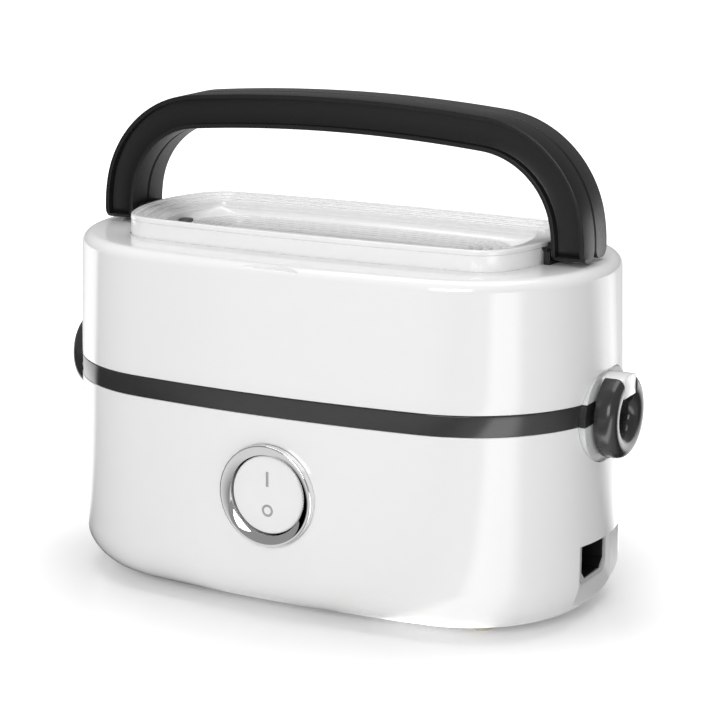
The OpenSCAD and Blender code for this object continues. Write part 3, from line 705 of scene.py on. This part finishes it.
@dataclass
class Assembly:
    """A group of pieces that share one way of being added."""

    made: list[Object] = field(default_factory=list)

    def put(self, obj: Object, body: Body, finish: Finish, *nodes: str) -> None:
        """Gives a piece its finish and body, and hides the nodes it stands for.

        Args:
            obj: The piece.
            body: Body that it rides on.
            finish: Its finish.
            *nodes: Nodes of the frame that it replaces.
        """
        obj.data.materials.clear()
        obj.data.materials.append(finish.material())
        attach(obj, body.value)
        if nodes:
            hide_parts(*nodes)
        self.made.append(obj)

    def put_both(self, obj: Object, body: Body, finish: Finish, *nodes: str) -> None:
        """Puts a piece of the right end, and its mirrored twin at the left end.

        Args:
            obj: The piece, whose name and nodes hold the word right.
            body: Body that both ride on.
            finish: Their finish.
            *nodes: Nodes of the right end that it replaces.
        """
        left = [node.replace("right", "left") for node in nodes]
        self.put(mirrored(obj, obj.name.replace("right", "left")), body, finish, *left)
        self.put(obj, body, finish, *nodes)


@dataclass
class Casing(Assembly):
    """Lower casing with its trim band, latch seats, pocket and feet."""

    wall: float = 2.4
    edge_r: float = 18.5
    floor_in: float = 27.0
    soft_r: float = 0.35
    hole_r: float = 17.6
    flat_r: float = 20.6
    band_soft_r: float = 0.3
    band_back: float = 5.4
    foot: tuple[float, float, float] = (77.0, 32.0, 5.0)

    def build(self) -> None:
        """Builds the casing's pieces."""
        self.shell()
        self.band()
        self.seats()
        self.feet()
        self.knuckles()

    def shell(self) -> None:
        """The white shell: a lofted cup with its seats, pocket and switch hole."""
        r, t, e, f = self.edge_r, self.wall, self.soft_r, -self.floor_in
        top = BAND_Z - 0.05
        section = [(f, BASE_Z)] + arc(-r, BASE_Z + r, r, -90, 0, 20)
        section += [(0.0, z) for z in (32, 44, 56, 68, top - 0.5)]
        section += arc(-e, top - e, e, 0, 90, 3) + [(-t, top), (-t, BASE_Z + r)]
        section += arc(-r, BASE_Z + r, r - t, -10, -90, 8) + [(f, BASE_Z + t)]
        obj = sweep("casing_lower", BODY, section)
        plate = [(-14.0, 5.0), (-1.2, 20.0), (-1.2, top - 0.4), (-14.0, top - 0.4)]
        cuts = both_ends(Cut.JOIN, lambda: seat_plate(plate))
        low = [(-14.0, 4.0), (-9.0, 4.2), (-2.6, 12.0), (-1.2, 20.0), (-1.2, 60.0), (-14.0, 60.0)]
        back = prism("back", pocket(1.6), 106.4, PAST_X)
        cuts.append((Cut.JOIN, carve(sweep("core", BODY, low), (Cut.COMMON, back))))
        cuts += both_ends(Cut.AWAY, lambda: seat(0.0))
        away = [prism("pocket", pocket(0.0), 109.0, PAST_X)]
        away.append(prism("mouth", mouth(2.2), 97.0, 112.0))
        for radius, depth, y in ((self.hole_r, 12, -56.0), (self.flat_r, 4, -63.1)):
            away.append(turn("hole", [(0, 0), (radius, 0), (radius, depth), (0, depth)]))
            move(away[-1], (0, y, SWITCH_Z), "X")
        x, y, r = self.foot
        for place in ((-x, -y, 0), (-x, y, 0), (x, -y, 0), (x, y, 0)):
            away.append(move(turn("sock", [(0, 1), (r, 1), (r, 3.2), (0, 3.2)]), place))
        carve_smooth(obj, *cuts, *[(Cut.AWAY, tool) for tool in away])
        self.put(obj, Body.BASE, WHITE, "base_shell")

    def band(self) -> None:
        """The dark band with a soft edge above and below, and its skirt in the casing."""
        lo, hi, back, e = BAND_Z, LID_Z, -self.band_back, self.band_soft_r
        out = -0.15 - e
        section = [(back, lo), (out, lo)] + arc(out, lo + e, e, -90, 0, 3)
        section += arc(out, hi - e, e, 0, 90, 3)
        section += [(-3.2, hi), (-3.2, hi - 1.0), (back, hi - 1.0)]
        obj = sweep("trim_ring", BODY, section)
        carve_smooth(obj, *both_ends(Cut.AWAY, lambda: seat(0.0)))
        self.put(obj, Body.BASE, BAND, "trim_band")
        skirt = sweep("trim_skirt", BODY, [(back, 75.0), (-2.6, 75.0), (-2.6, 81.9), (back, 82.1)])
        carve(skirt, *both_ends(Cut.AWAY, lambda: seat(2.2, 107.2)))
        self.put(skirt, Body.BASE, BAND)

    def seats(self) -> None:
        """The band's flat over each latch seat, in black as painted shade for its darker
        reflection, and the pale pads above and below it.
        """
        lo, hi = BAND_Z, LID_Z
        flat = box("trim_flat_right", (107.6, -21.7, lo + 0.02), (114.05, 21.7, hi - 0.02), 0.1)
        carve(flat, (Cut.COMMON, seat(-0.2, 107.0)))
        # the black finish on this band flat is painted shade: the flat faces the end and reflects
        # darker than the band
        self.put_both(flat, Body.BASE, BLACK_AND_SHADE)
        for body, a, b in ((Body.BASE, 60.0, lo - 0.05), (Body.LID, hi + 0.3, 104.0)):
            pad = box(f"seat_pad_{body.value}_right", (109.9, -23.0, a), (114.0, 23.0, b))
            carve(pad, (Cut.COMMON, seat(-0.15, 109.0)))
            round_edges(pad, 0.35, 2, 40)
            self.put_both(pad, body, PAD)

    def feet(self) -> None:
        """Four domed feet."""
        x, y, r = self.foot
        low = math.sqrt(r * r - 4.0)
        start = math.degrees(math.asin(2.0 / r))
        section = [(0, 0), (low - 0.3, 0)] + arc(0, 2.0, r, -start + 4, 0, 8) + [(r, 3.2), (0, 3.2)]
        nodes = ["rubber_feet"]
        for i, place in enumerate(((x, -y, 0), (x, y, 0), (-x, -y, 0), (-x, y, 0))):
            self.put(move(turn(f"foot_{i}", section, 48), place), Body.BASE, IVORY, *nodes)
            nodes = []

    def knuckles(self) -> None:
        """The small bearings at the lower edge of each latch seat."""
        bore, r, half, e = 1.15, 2.6, 3, 0.25
        section = [(bore, -half), (r - e, -half), (r, e - half), (r, half - e), (r - e, half)]
        eye = turn("knuckle_right", section + [(bore, half)], 40, True)
        move(eye, (PIVOT_X, 0, PIVOT_Z), "X")
        low, high = (109.4, -half, PIVOT_Z - 1.8), (PIVOT_X - 1.6, half, PIVOT_Z + 2.4)
        arm = box("knuckle_arm_right", low, high, 0.4)
        self.put_both(eye, Body.BASE, WHITE)
        self.put_both(arm, Body.BASE, WHITE)


@dataclass
class Latch(Assembly):
    """A latch ring at each end."""

    back: float = 115.1
    front: float = 123.6
    hole_r: float = 7.0
    rim_r: float = 3.6
    notch_half: float = 6.3
    room_half: float = 3.3

    def build(self) -> None:
        """Builds the two rings."""
        ring = self.ring()
        twin = mirrored(ring, "latch_left_ring")
        self.put(ring, Body.LATCH_RIGHT, RING, "latch_ring_right")
        self.put(twin, Body.LATCH_LEFT, RING, "latch_ring_left")

    def ring(self) -> Object:
        """The drum: soft rims, a funnel into the finger hole, a notch and a hinge room.

        Returns:
            The ring of the right end.
        """
        r, h, b, f, m = LATCH_R, self.hole_r, self.back, self.front, self.rim_r
        section = [(h + 0.4, b), (r - 0.5, b)] + arc(r - 0.5, b + 0.5, 0.5, -90, 0, 3)
        section += arc(r - m, f - m, m, 0, 90, 14) + [(r - m - 0.8, f - 0.02)]
        bowl = r - m - 1.2 - h
        for a in (0.1, 0.3, 0.5, 0.7, 0.9, 1.1, 1.3, 1.45, 1.57):
            section.append((h + bowl - bowl * math.sin(a), f - 5.1 + 5.0 * math.cos(a)))
        obj = move(turn("latch_right_ring", section, 120, True), (0, 0, LATCH_Z), "Y")
        n, room = self.notch_half, self.room_half
        notch = box("notch", (b - 1, -n, LATCH_Z), (f + 1, n, LATCH_Z + r + 1))
        low, high = (b - 1, -room, LATCH_Z - r - 1), (PIVOT_X + 2.9, room, PIVOT_Z + 2.9)
        carve(obj, (Cut.AWAY, notch), (Cut.AWAY, box("room", low, high)))
        round_edges(obj, 0.25, 2, 50)
        return obj


@dataclass
class Switch(Assembly):
    """Chrome ring, white rocker disc with its two marks."""

    ring_r: float = 20.3
    bore_r: float = 16.1
    disc_r: float = 15.6
    disc_in: float = 2.2
    mark_drop: float = 6.2

    def build(self) -> None:
        """Builds the ring, the disc and the marks."""
        r, b, d = self.ring_r, self.bore_r, self.disc_r
        section = [(b, -9.0), (17.4, -9.0), (17.4, -3.7), (r, -3.7), (r, -0.7)]
        section += arc(r - 0.6, -0.6, 0.6, 0, 90, 5)
        section += [(r - 1.2, -0.02), (b + 0.3, -1.35), (b, -1.6)]
        ring = turn("switch_chrome_ring", section, 160, True, 50)
        self.put(move(ring, (0, SWITCH_Y, SWITCH_Z), "X"), Body.BASE, CHROME, "switch_bezel")
        z, y = SWITCH_Z, SWITCH_Y + self.disc_in
        low = (0, y, z - self.mark_drop)
        dome = [(0, 0.0), (5, -0.03), (10, -0.1), (14, -0.22)] + arc(d - 0.8, -1.1, 0.8, 80, 0, 6)
        disc = move(turn("switch_disc", dome + [(d, -4.0), (0, -4.0)], 128), (0, y, z), "X")
        slot = box("slot", (-0.6, y - 1, z + 3.4), (0.6, y + 0.4, z + 9.4))
        cut = turn("groove", [(1.5, -0.35), (2.5, -0.35), (2.5, 1.0), (1.5, 1.0)], 48, True)
        carve(disc, (Cut.AWAY, slot), (Cut.AWAY, move(cut, low, "X")))
        self.put(disc, Body.SWITCH, WHITE, "switch_rocker")
        stroke = box("mark_on", (-0.58, y + 0.25, z + 3.42), (0.58, y + 0.8, z + 9.38), 0.1)
        self.put(stroke, Body.SWITCH, MARK)
        section = [(1.52, -0.8), (2.48, -0.8), (2.48, -0.22), (1.52, -0.22)]
        self.put(move(turn("mark_off", section, 48, True), low, "X"), Body.SWITCH, MARK)


@dataclass
class Inlet(Assembly):
    """The pale frame round the mouth of the appliance inlet in its pocket."""

    back: float = 108.7
    front: float = 109.5
    outer: float = 2.1
    inner: float = 0.2

    def build(self) -> None:
        """Builds the frame."""
        b, f = self.back, self.front
        corners = ((self.outer, b), (self.outer, f), (self.inner, f), (self.inner, b))
        rim = loft("inlet_rim", [[(x, y, z) for y, z in mouth(g)] for g, x in corners], True)
        round_edges(rim, 0.15, 2)
        self.put(rim, Body.BASE, PALE)


@dataclass
class Lid(Assembly):
    """Lift-off lid: wall, raised oval with its terraced dish, liner and seal."""

    wall: float = 2.4
    draft: float = 1.2
    edge_r: float = 4.5
    soft_r: float = 0.35
    scoop_r: float = 35.0
    scoop_out: float = 30.5
    terrace: Flat = (3.5, 0.8)  # width and drop
    dish_in: float = 12.1
    floor_z: float = 141.6
    ridge_pitch: float = 3.85
    badge_x: float = 74.4
    vent_x: float = -75.3
    liner_top: float = 133.0
    liner_t: float = 1.6

    def build(self) -> None:
        """Builds the lid's pieces."""
        self.shell()
        self.dish()
        self.oval_wall()
        self.badge()
        self.lugs()
        self.vent()
        self.liner()

    def shell(self) -> None:
        """The white wall and shoulder, with seats, slots and the finger scoop."""
        low, top = LID_Z + 0.25, SHOULDER_Z
        r, d, t, e = self.edge_r, self.draft, self.wall, self.soft_r
        flat = -d - r - 1.0
        section = [(-t, low), (-e, low)] + arc(-e, low + e, e, -90, 0, 3)[1:]
        section += [(-d * s, low + (top - r - low) * s) for s in (i / 9 for i in range(1, 9))]
        section += arc(-d - r, top - r, r, 0, 90, 12) + [(flat, top)]
        hole = [(0.7, top), (0.35, top - 0.12), (0.3, top - 0.4), (0.3, top - t)]
        under = [(flat, top - t), (-t - d - 1.4, top - t - 1.2), (-t - d, top - r - 1.0)]
        obj = loft("lid_wall", BODY.rings(section) + BOSS.rings(hole) + BODY.rings(under), True)
        low += 0.05
        plate = [(-14.0, low), (-1.6, low), (-1.6, 113.0), (-14.0, 113.0)]
        cuts = both_ends(Cut.JOIN, lambda: seat_plate(plate))
        cuts += both_ends(Cut.AWAY, lambda: seat(0.0))
        corners = (89.7, -11.15, 132.0), (93.65, 11.15, 143.0)
        cuts += both_ends(Cut.AWAY, lambda: box("slot", *corners))
        carve_smooth(obj, *cuts, (Cut.AWAY, self.scoop()))
        self.put(obj, Body.LID, WHITE, "lid_shell")

    def scoop(self) -> Object:
        """The lens that the front shoulder edge dips to.

        Returns:
            The shape that is cut away.
        """
        cy = -BODY.half_w - self.scoop_out
        reach = 26.0
        flat = arc(0, cy, self.scoop_r, 90 + reach, 90 - reach, 40)
        flat += [(flat[-1][0], cy + 20.0), (flat[0][0], cy + 20.0)]
        return prism("scoop", flat, SHOULDER_Z - 2.0, SHOULDER_Z + 2.0, "XYZ")

    def under(self) -> list[Flat]:
        """Underside of the raised oval's top, from the dish wall out to the rim.

        Returns:
            Points of (offset, height).
        """
        z = BOSS_Z
        inner = [(-12.6, 139.9), (-12.6, z - 4.4), (-8.8, z - 3.5)]
        return inner + [(-5.3, z - 2.7), (-1.9, z - 1.9), (-0.6, z - 1.8)]

    def dish(self) -> None:
        """The raised oval's top: rim, three terraces, hollow dish wall, floor ridges."""
        z, floor, wall = BOSS_Z, self.floor_z, -self.dish_in
        section = self.under() + [(0.0, z - 1.8), (0.0, z - 0.6)]
        section += arc(-0.6, z - 0.6, 0.6, 0, 90, 5)[1:]
        step = (0.3, 0.0), (0.1, -0.12), (0.05, -0.75), (-0.05, -0.85), (-0.5, -0.8)
        for i in range(3):
            o, h = -1.6 - self.terrace[0] * i, z - self.terrace[1] * i
            section += [(o + a, h + b) for a, b in step]
        high = z - 2.75
        rows = BOSS.rings(section + [(wall + 0.35, z - 2.4), (wall + 0.1, z - 2.5), (wall, high)])
        edge, foot = BOSS.ring(wall, 0.0), DISH_FLOOR.ring(0.0, 0.0)
        for i in range(1, 13):
            a = math.radians(7.5 * i)
            f, h = 1 - math.cos(a), high - (high - floor) * math.sin(a)
            rows.append([
                (p[0] + (q[0] - p[0]) * f, p[1] + (q[1] - p[1]) * f, h) for p, q in zip(edge, foot)
            ])
        ridge = [(0.1, 0.0), (0.0, 0.1), (-0.2, 0.75), (-0.4, 0.85)]
        ridge += [(-1.1, 0.85), (-1.3, 0.75), (-1.5, 0.1), (-1.6, 0.0)]
        for i in range(5):
            rows += DISH_RINGS.rings([(o - self.ridge_pitch * i, floor + h) for o, h in ridge])
        self.put(loft("lid_dish", rows, False, 30), Body.LID, DISH, "lid_top")

    def oval_wall(self) -> None:
        """The raised oval's wall, with a bite for each hinge bracket."""
        z = BOSS_Z
        section = [(-11.9, 137.6), (-0.03, 137.6), (-0.03, z - 2.2), (-0.4, z - 1.95)]
        section += [(-0.4, z - 1.79), (-0.5, z - 1.79)]
        section += [(o, h - 0.01) for o, h in self.under()[:0:-1]]
        obj = sweep("lid_oval_wall", BOSS, section)
        carve_smooth(obj, *both_ends(Cut.AWAY, self.bite))
        self.put(obj, Body.LID, DISH)

    def bite(self) -> Object:
        """The round space that the right bracket and the bails' feet take.

        Returns:
            The shape that is cut away.
        """
        drum = turn("bite", [(0, 85.4), (11.2, 85.4), (11.2, 100), (0, 100)])
        move(drum, (0, 0, BOSS_Z + 3.4), "Y")
        return carve(drum, (Cut.COMMON, box("roof", (80, -12, 130), (102, 12, BOSS_Z - 1.0))))

    def badge(self) -> None:
        """The blank round plate at the right of the dish."""
        section = [(0, 0), (3.4, 0), (3.7, 0.3), (3.7, 0.5), (3.4, 0.75), (2.9, 0.6), (0, 0.6)]
        plate = move(turn("badge_plate", section, 64), (self.badge_x, 0, self.floor_z - 0.1))
        self.put(plate, Body.LID, DISH)

    def lugs(self) -> None:
        """The lug at each end that the latch ring's notch passes over."""
        half, r = 6, 16.6
        top = [(y, LATCH_Z + math.sqrt(r**2 - y * y)) for y in range(half, -half - 1, -2)]
        lug = prism("lid_lug_right", [(-half, 90.55), (half, 90.55)] + top, 109.95, 123.2)
        round_edges(lug, 0.5)
        self.put_both(lug, Body.LID, WHITE, "latch_lug_right")

    def vent(self) -> None:
        """The grey vent plug in the dish."""
        section = [(0, 139.6), (2.4, 139.6), (2.4, 141.0), (1.5, 141.4), (1.5, 141.5)]
        section += [(3.0, 141.5), (3.0, 142.5)] + arc(2.7, 142.5, 0.3, 0, 90, 3)
        section += [(1.2, 142.8), (1.0, 142.3), (0, 142.3)]
        plug = move(turn("vent_cap", section, 48), (self.vent_x, 0, 0))
        self.put(plug, Body.LID, VENT, "vent_plug")

    def liner(self) -> None:
        """The inner cover, a smooth tray turned over, with its flat top."""
        top, t, low, r, mid = self.liner_top, self.liner_t, 95.2, 6, -7.5
        section = [(0, low)] + arc(-r, top - r, r, 0, 90, 8) + [(mid, top), (mid, top - t)]
        section += arc(-r, top - r, r - t, 90, 0, 8) + [(-t, low)]
        obj = sweep("liner_tray", LINER, section)
        cap = sweep("liner_top", LINER, [(-7.2, top - t + 0.08), (-7.2, top - 0.08)], False)
        carve(obj, *both_ends(Cut.AWAY, lambda: seat(2.4, 107.2)))
        self.put(obj, Body.LID, INNER, "lid_liner")
        self.put(cap, Body.LID, INNER)


@dataclass
class Bail(Assembly):
    """The two folding carrying bails: a channel section swept over a flat arch."""

    half: float = 107.5
    rise: float = 52.0
    thick: float = 11.2
    width: float = 13.6
    rim: float = 1.8
    depth: float = 3.6
    foot: float = 4.6
    foot_r: float = 4.0
    foot_steps: tuple[float, ...] = (0.0, 0.15, 0.5, 1.0, 1.4, 1.8, 2.05, 2.3, 3.0, 4.0)
    hinge: Flat = (-6.0, 147.0)

    def build(self) -> None:
        """Builds both bails."""
        front = self.arch("bail_front_arch")
        back = mirrored(front, "bail_rear_arch", Y_AXIS)
        self.put(front, Body.FRONT_BAIL, BAIL, "bail_front")
        self.put(back, Body.REAR_BAIL, BAIL, "bail_rear")

    def path(self) -> list[tuple[float, float, float, float]]:
        """Outer edge of the arch from the right foot to the left foot.

        Returns:
            For each step x, height over the hinge, and the outward normal.
        """
        arch = Outline(self.half, self.rise, 46.0, 2.9, 0.3)
        counts = (4, 30, 24)
        outer = arch.quarter(0.0, counts) + [(0.0, self.rise)]
        inner = arch.quarter(-1.0, counts) + [(0.0, self.rise - 1.0)]
        right = [(self.half, s - self.foot, 1.0, 0.0) for s in self.foot_steps]
        right += [(x, z, x - u, z - v) for (x, z), (u, v) in zip(outer, inner)]
        return right + [(-x, z, -u, v) for x, z, u, v in reversed(right[:-1])]

    def section(self, up: float) -> list[Flat]:
        """The channel section at a distance above the foot's lower end.

        Args:
            up: Distance above the foot's lower end.

        Returns:
            Points of (inset from the outer edge, distance to the front).
        """
        r, w, m, e, q = self.foot_r, self.width, self.rim, 0.5, 0.25
        pull = 0.0 if up >= r else r - math.sqrt(max(r * r - (r - up) ** 2, 0.0))
        face = self.thick / 2 - pull
        sunk = 0.0 if up <= m else min((up - m) / 0.25, 1.0) * self.depth
        deep, lip = face - sunk, min(q, sunk)
        pts = [(0.0, e - face), (0.0, face - e), (0.15, face - 0.15), (e, face), (m - q, face)]
        pts += [(m - 0.07, face - min(0.07, sunk)), (m, face - lip), (m, deep + lip * 0.5)]
        pts.append((m + q, deep))
        pts += [(w - x, y) for x, y in reversed(pts)]
        return pts + [(w - 0.2, 0.2 - face), (w - e, -face), (e, -face), (0.2, 0.2 - face)]

    def arch(self, name: str) -> Object:
        """Sweeps the section along the arch; its open side faces the front.

        Args:
            name: Name of the piece.

        Returns:
            The front bail.
        """
        y0, z0 = self.hinge
        rows: list[list[Point]] = []
        for x, z, nx, nz in self.path():
            up = z + self.foot if z < 0.5 else self.rise
            rows.append([(x - nx * d, y0 - f, z0 + z - nz * d) for d, f in self.section(up)])
        return loft(name, rows, False, 30)


@dataclass
class CookingSet(Assembly):
    """Heated pan, bowls and covers."""

    bowl_x: float = 48.275
    bowl_z: float = 49.5
    bowl_h: float = 54.0
    tub_r: float = 8.0
    sheet: float = 0.8
    ridge_in: float = 14.0

    def tub(self, name: str, outline: Outline, z0: float, z1: float, lip: float) -> Object:
        """A drawn tub with a rolled lip.

        Args:
            name: Name of the piece.
            outline: Outline of its outer wall.
            z0: Height of its underside.
            z1: Height of its rim.
            lip: How far the rim stands out.

        Returns:
            The tub.
        """
        r, t = self.tub_r, self.sheet
        rows = arc(-r, z0 + r, r, -90, 0, 10) + [(0.0, z1 - 1.4)]
        rows += [(lip, z1 - 1.2), (lip, z1 - 0.25), (lip - 0.2, z1)]
        rows += [(-t + 0.15, z1), (-t, z1 - 0.2)]
        rows += arc(-r, z0 + r, r - t, 0, -90, 10)
        return sweep(name, outline, rows, False)

    def build(self) -> None:
        """Builds the pan, the two bowls and their covers."""
        pan = self.tub("pan_tub", PAN, 46.0, 89.6, 0.3)
        flange = [(-16.4, 89.2), (-3.5, 89.2), (-3.5, 90.0), (-16.4, 90.0)]
        self.put(pan, Body.BASE, STEEL, "water_pan")
        self.put(sweep("pan_flange", BODY, flange), Body.BASE, STEEL)
        self.bowl(self.bowl_x, Body.BOWL_RIGHT, Body.COVER_RIGHT, "right")
        self.bowl(-self.bowl_x, Body.BOWL_LEFT, Body.COVER_LEFT, "left")

    def bowl(self, x: float, body: Body, cover_body: Body, word: str) -> None:
        """A bowl with its cover, whose plug stands in the bowl.

        Args:
            x: Place of the bowl's middle.
            body: Body of the bowl.
            cover_body: Body of the cover.
            word: Side of the box, for the names.
        """
        place, top, ridge = (x, 0, 0), self.bowl_z + self.bowl_h, BOWL.inset(self.ridge_in)
        tub = self.tub(f"bowl_{word}", BOWL, self.bowl_z, top, 0.6)
        self.put(move(tub, place), body, STEEL, f"food_bowl_{word}")
        rim = (-1.1, -3.0), (-1.1, 0.0), (0.3, 0.0), (0.6, 0.3), (0.6, 1.3), (0.3, 1.6)
        rise = (
            (0.2, 1.6), (0.0, 1.8), (-0.1, 2.8), (-0.4, 3.0),
            (-1.2, 3.0), (-1.5, 2.8), (-1.6, 1.7), (-1.9, 1.6),
        )
        rows = BOWL.rings([(o, top + z) for o, z in rim])
        rows += ridge.rings([(o, top + z) for o, z in rise])
        cover = loft(f"cover_{word}", rows)
        low = top - 3.0
        section = [(-1.1, low), (-1.1, top), (-2.5, top), (-2.5, low)]
        plug = sweep(f"cover_plug_{word}", BOWL, section)
        self.put(move(cover, place), cover_body, CLEAR, f"bowl_cover_{word}")
        self.put(move(plug, place), cover_body, CLEAR)


@dataclass(frozen=True)
class Carried:
    """Nodes that keep their own mesh and only get a finish."""

    finishes: tuple[tuple[Finish, tuple[str, ...]], ...] = (
        (PALE, ("bottom_cover",)),
        (STEEL, ("bottom_screws", "heater_clamp", "inlet_blades", "steam_rack", "bracket_screws")),
        (CAST, ("heater_plate",)),
        (TUBE, ("heating_element",)),
        (CERAMIC, ("thermostat", "thermal_fuse")),
        (BRASS, ("clamp_nuts",)),
        (BLACK_AND_SHADE, ("switch_body", "inlet_housing")),
        (PIN, ("latch_pin_left", "latch_pin_right", "bail_pins")),
        (SEAL, ("lid_gasket",)),
        (BAIL, ("hinge_bracket_left", "hinge_bracket_right")),
    )

    def dress(self) -> None:
        """Assigns the finishes."""
        for finish, nodes in self.finishes:
            for node in nodes:
                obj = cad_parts[node]
                obj.data.materials.clear()
                obj.data.materials.append(finish.material())
                LOG.info("Carried: %s", node)


# ---------------------------------------------------------------- studio


@dataclass
class Studio:
    """Floor, backdrop, soft lights and camera; sizes are in metres."""

    aim: Point = (0.0, 0.0, 0.0889)
    azimuth: float = 28.22
    elevation: float = 13.64
    distance: float = 1.001
    lens: float = 123.46
    shift: Flat = (0.0192, 0.00715)
    floor_half: float = 6.0
    glow_near: Flat = (0.08, 0.14)
    glow_far: Flat = (0.26, 1.0)
    tent_power: float = 5.0
    tent: tuple[Flat, ...] = (
        (-179, 0.16), (-125, 0.16), (-100, 0.45), (-92, 0.45), (-86, 0.0), (-45, 0.0),
        (-30, 0.15), (-10, 0.15), (20, 0.05), (40, 0.2), (46, 0.76), (60, 0.76), (68, 0.2),
        (90, 0.1), (105, 0.0), (124, 0.0), (138, 0.5), (150, 0.6), (162, 0.25), (179, 0.16),
    )

    def build(self) -> None:
        """Builds everything."""
        self.camera()
        self.floor()
        self.world()
        self.lights()

    def camera(self) -> None:
        """The camera at the photograph's viewing angle."""
        az, el = math.radians(self.azimuth), math.radians(self.elevation)
        flat = math.cos(el)
        away = Vector((math.sin(az) * flat, -math.cos(az) * flat, math.sin(el)))
        data = bpy.data.cameras.new("camera")
        data.lens, data.sensor_width = self.lens, 36.0
        data.shift_x, data.shift_y = self.shift
        data.clip_end = 50.0
        cam = bpy.data.objects.new("camera", data)
        cam.location = Vector(self.aim) + away * self.distance
        cam.rotation_euler = (-away).to_track_quat("-Z", "Y").to_euler()
        bpy.context.scene.collection.objects.link(cam)
        bpy.context.scene.camera = cam
        bpy.context.scene.view_settings.view_transform = "Standard"

    def floor(self) -> None:
        """A wide white floor, which glows to the camera away from the object."""
        bm = bmesh.new()
        bmesh.ops.create_grid(bm, x_segments=1, y_segments=1, size=self.floor_half)
        mesh = bpy.data.meshes.new("floor")
        bm.to_mesh(mesh)
        bm.free()
        obj = bpy.data.objects.new("floor", mesh)
        bpy.context.scene.collection.objects.link(obj)
        mat = bpy.data.materials.new("floor_white")
        mat.use_nodes = True
        n = Nodes(mat.node_tree)
        out = n.add("OutputMaterial")
        base = n.add(
            "BsdfPrincipled", Base_Color=(0.90, 0.90, 0.90, 1), Roughness=0.22, IOR=1.3,
            Emission_Color=(1, 1, 1, 1),
        )
        coord, path = n.add("TexCoord"), n.add("LightPath")
        reach = n.add("VectorMath", operation="LENGTH")
        n.wire(coord, "Object", reach, 0)
        fade = n.add("MapRange", interpolation_type="SMOOTHSTEP")
        limits = zip(("Min", "Max"), (self.glow_near, self.glow_far))
        for end, (radius, glow) in limits:
            fade.inputs["From " + end].default_value = radius
            fade.inputs["To " + end].default_value = glow
        n.wire(reach, "Value", fade, "Value")
        seen = n.add("Math", operation="MULTIPLY")
        n.wire(path, "Is Camera Ray", seen, 0)
        n.wire(fade, "Result", seen, 1)
        n.wire(seen, 0, base, "Emission Strength")
        split = n.add("MixShader")
        n.wire(path, "Is Glossy Ray", split, 0)
        n.wire(base, "BSDF", split, 1)
        n.wire(self.tent_glow(n, coord), "Emission", split, 2)
        n.wire(split, 0, out, "Surface")
        mesh.materials.append(mat)

    def tent_glow(self, n: Nodes, coord: bpy.types.Node) -> bpy.types.Node:
        """Light and dark strips round the object, which only reflections see.

        Args:
            n: The floor's nodes.
            coord: Its texture coordinates.

        Returns:
            The emission node.
        """
        place = n.add("SeparateXYZ")
        n.wire(coord, "Object", place, 0)
        back = n.add("Math", operation="MULTIPLY")
        back.inputs[1].default_value = -1.0
        n.wire(place, "Y", back, 0)
        angle = n.add("Math", operation="ARCTAN2")
        n.wire(place, "X", angle, 0)
        n.wire(back, 0, angle, 1)
        part = n.add("MapRange", From_Min=-math.pi, From_Max=math.pi)
        n.wire(angle, 0, part, "Value")
        ramp = n.add("ValToRGB")
        stops = ramp.color_ramp.elements
        for az, level in self.tent:
            stops.new((az + 180.0) / 360.0).color = (level, level, level, 1)
        for end in (0, -1):
            stops.remove(stops[end])
        n.wire(part, "Result", ramp, "Fac")
        glow = n.add("Emission", Strength=self.tent_power)
        n.wire(ramp, "Color", glow, "Color")
        return glow

    def world(self) -> None:
        """White to the camera, a softer grey to everything else."""
        world = bpy.data.worlds.new("studio")
        bpy.context.scene.world = world
        world.use_nodes = True
        n = Nodes(world.node_tree)
        out, path = n.add("OutputWorld"), n.add("LightPath")
        white = (1, 1, 1, 1)
        last = n.add("Background", Color=white, Strength=0.36)
        for output, strength in (("Is Glossy Ray", 0.3), ("Is Camera Ray", 1.0)):
            back = n.add("Background", Color=white, Strength=strength)
            mix = n.add("MixShader")
            n.wire(path, output, mix, 0)
            n.wire(last, 0, mix, 1)
            n.wire(back, 0, mix, 2)
            last = mix
        n.wire(last, 0, out, "Surface")

    def lamp(self, name: str, place: Point, size: Flat, power: float) -> None:
        """Adds one soft rectangular light that points at the object.

        Args:
            name: Name of the light.
            place: Where it stands.
            size: Width and height.
            power: Power in watts.
        """
        data = bpy.data.lights.new(name, "AREA")
        data.shape = "RECTANGLE"
        data.size, data.size_y = size
        data.energy = power
        obj = bpy.data.objects.new(name, data)
        obj.location = place
        aim = Vector((0.0, 0.0, 0.09)) - Vector(place)
        obj.rotation_euler = aim.to_track_quat("-Z", "Y").to_euler()
        bpy.context.scene.collection.objects.link(obj)

    def lights(self) -> None:
        """A key light from the upper front and a top light."""
        self.lamp("key", (0.3, -1.5, 0.7), (0.9, 0.7), 11.2)
        self.lamp("top", (0.0, 0.1, 1.5), (1.4, 1.0), 12.0)


# ---------------------------------------------------------------- main


def main() -> None:
    """Builds every sub-assembly in order, logs each piece's face count, dresses the carried nodes
    and builds the studio.
    """
    logging.basicConfig(level=logging.INFO, format="%(name)s: %(message)s")
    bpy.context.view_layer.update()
    for effect in Effect:
        effect.build()
    groups: list[Assembly] = [Casing(), Latch(), Switch(), Inlet(), Lid(), Bail(), CookingSet()]
    for group in groups:
        group.build()
        for obj in group.made:
            LOG.info("%s: %s, %d faces", type(group).__name__, obj.name, len(obj.data.polygons))
    Carried().dress()
    Studio().build()


if __name__ == "__main__":
    main()
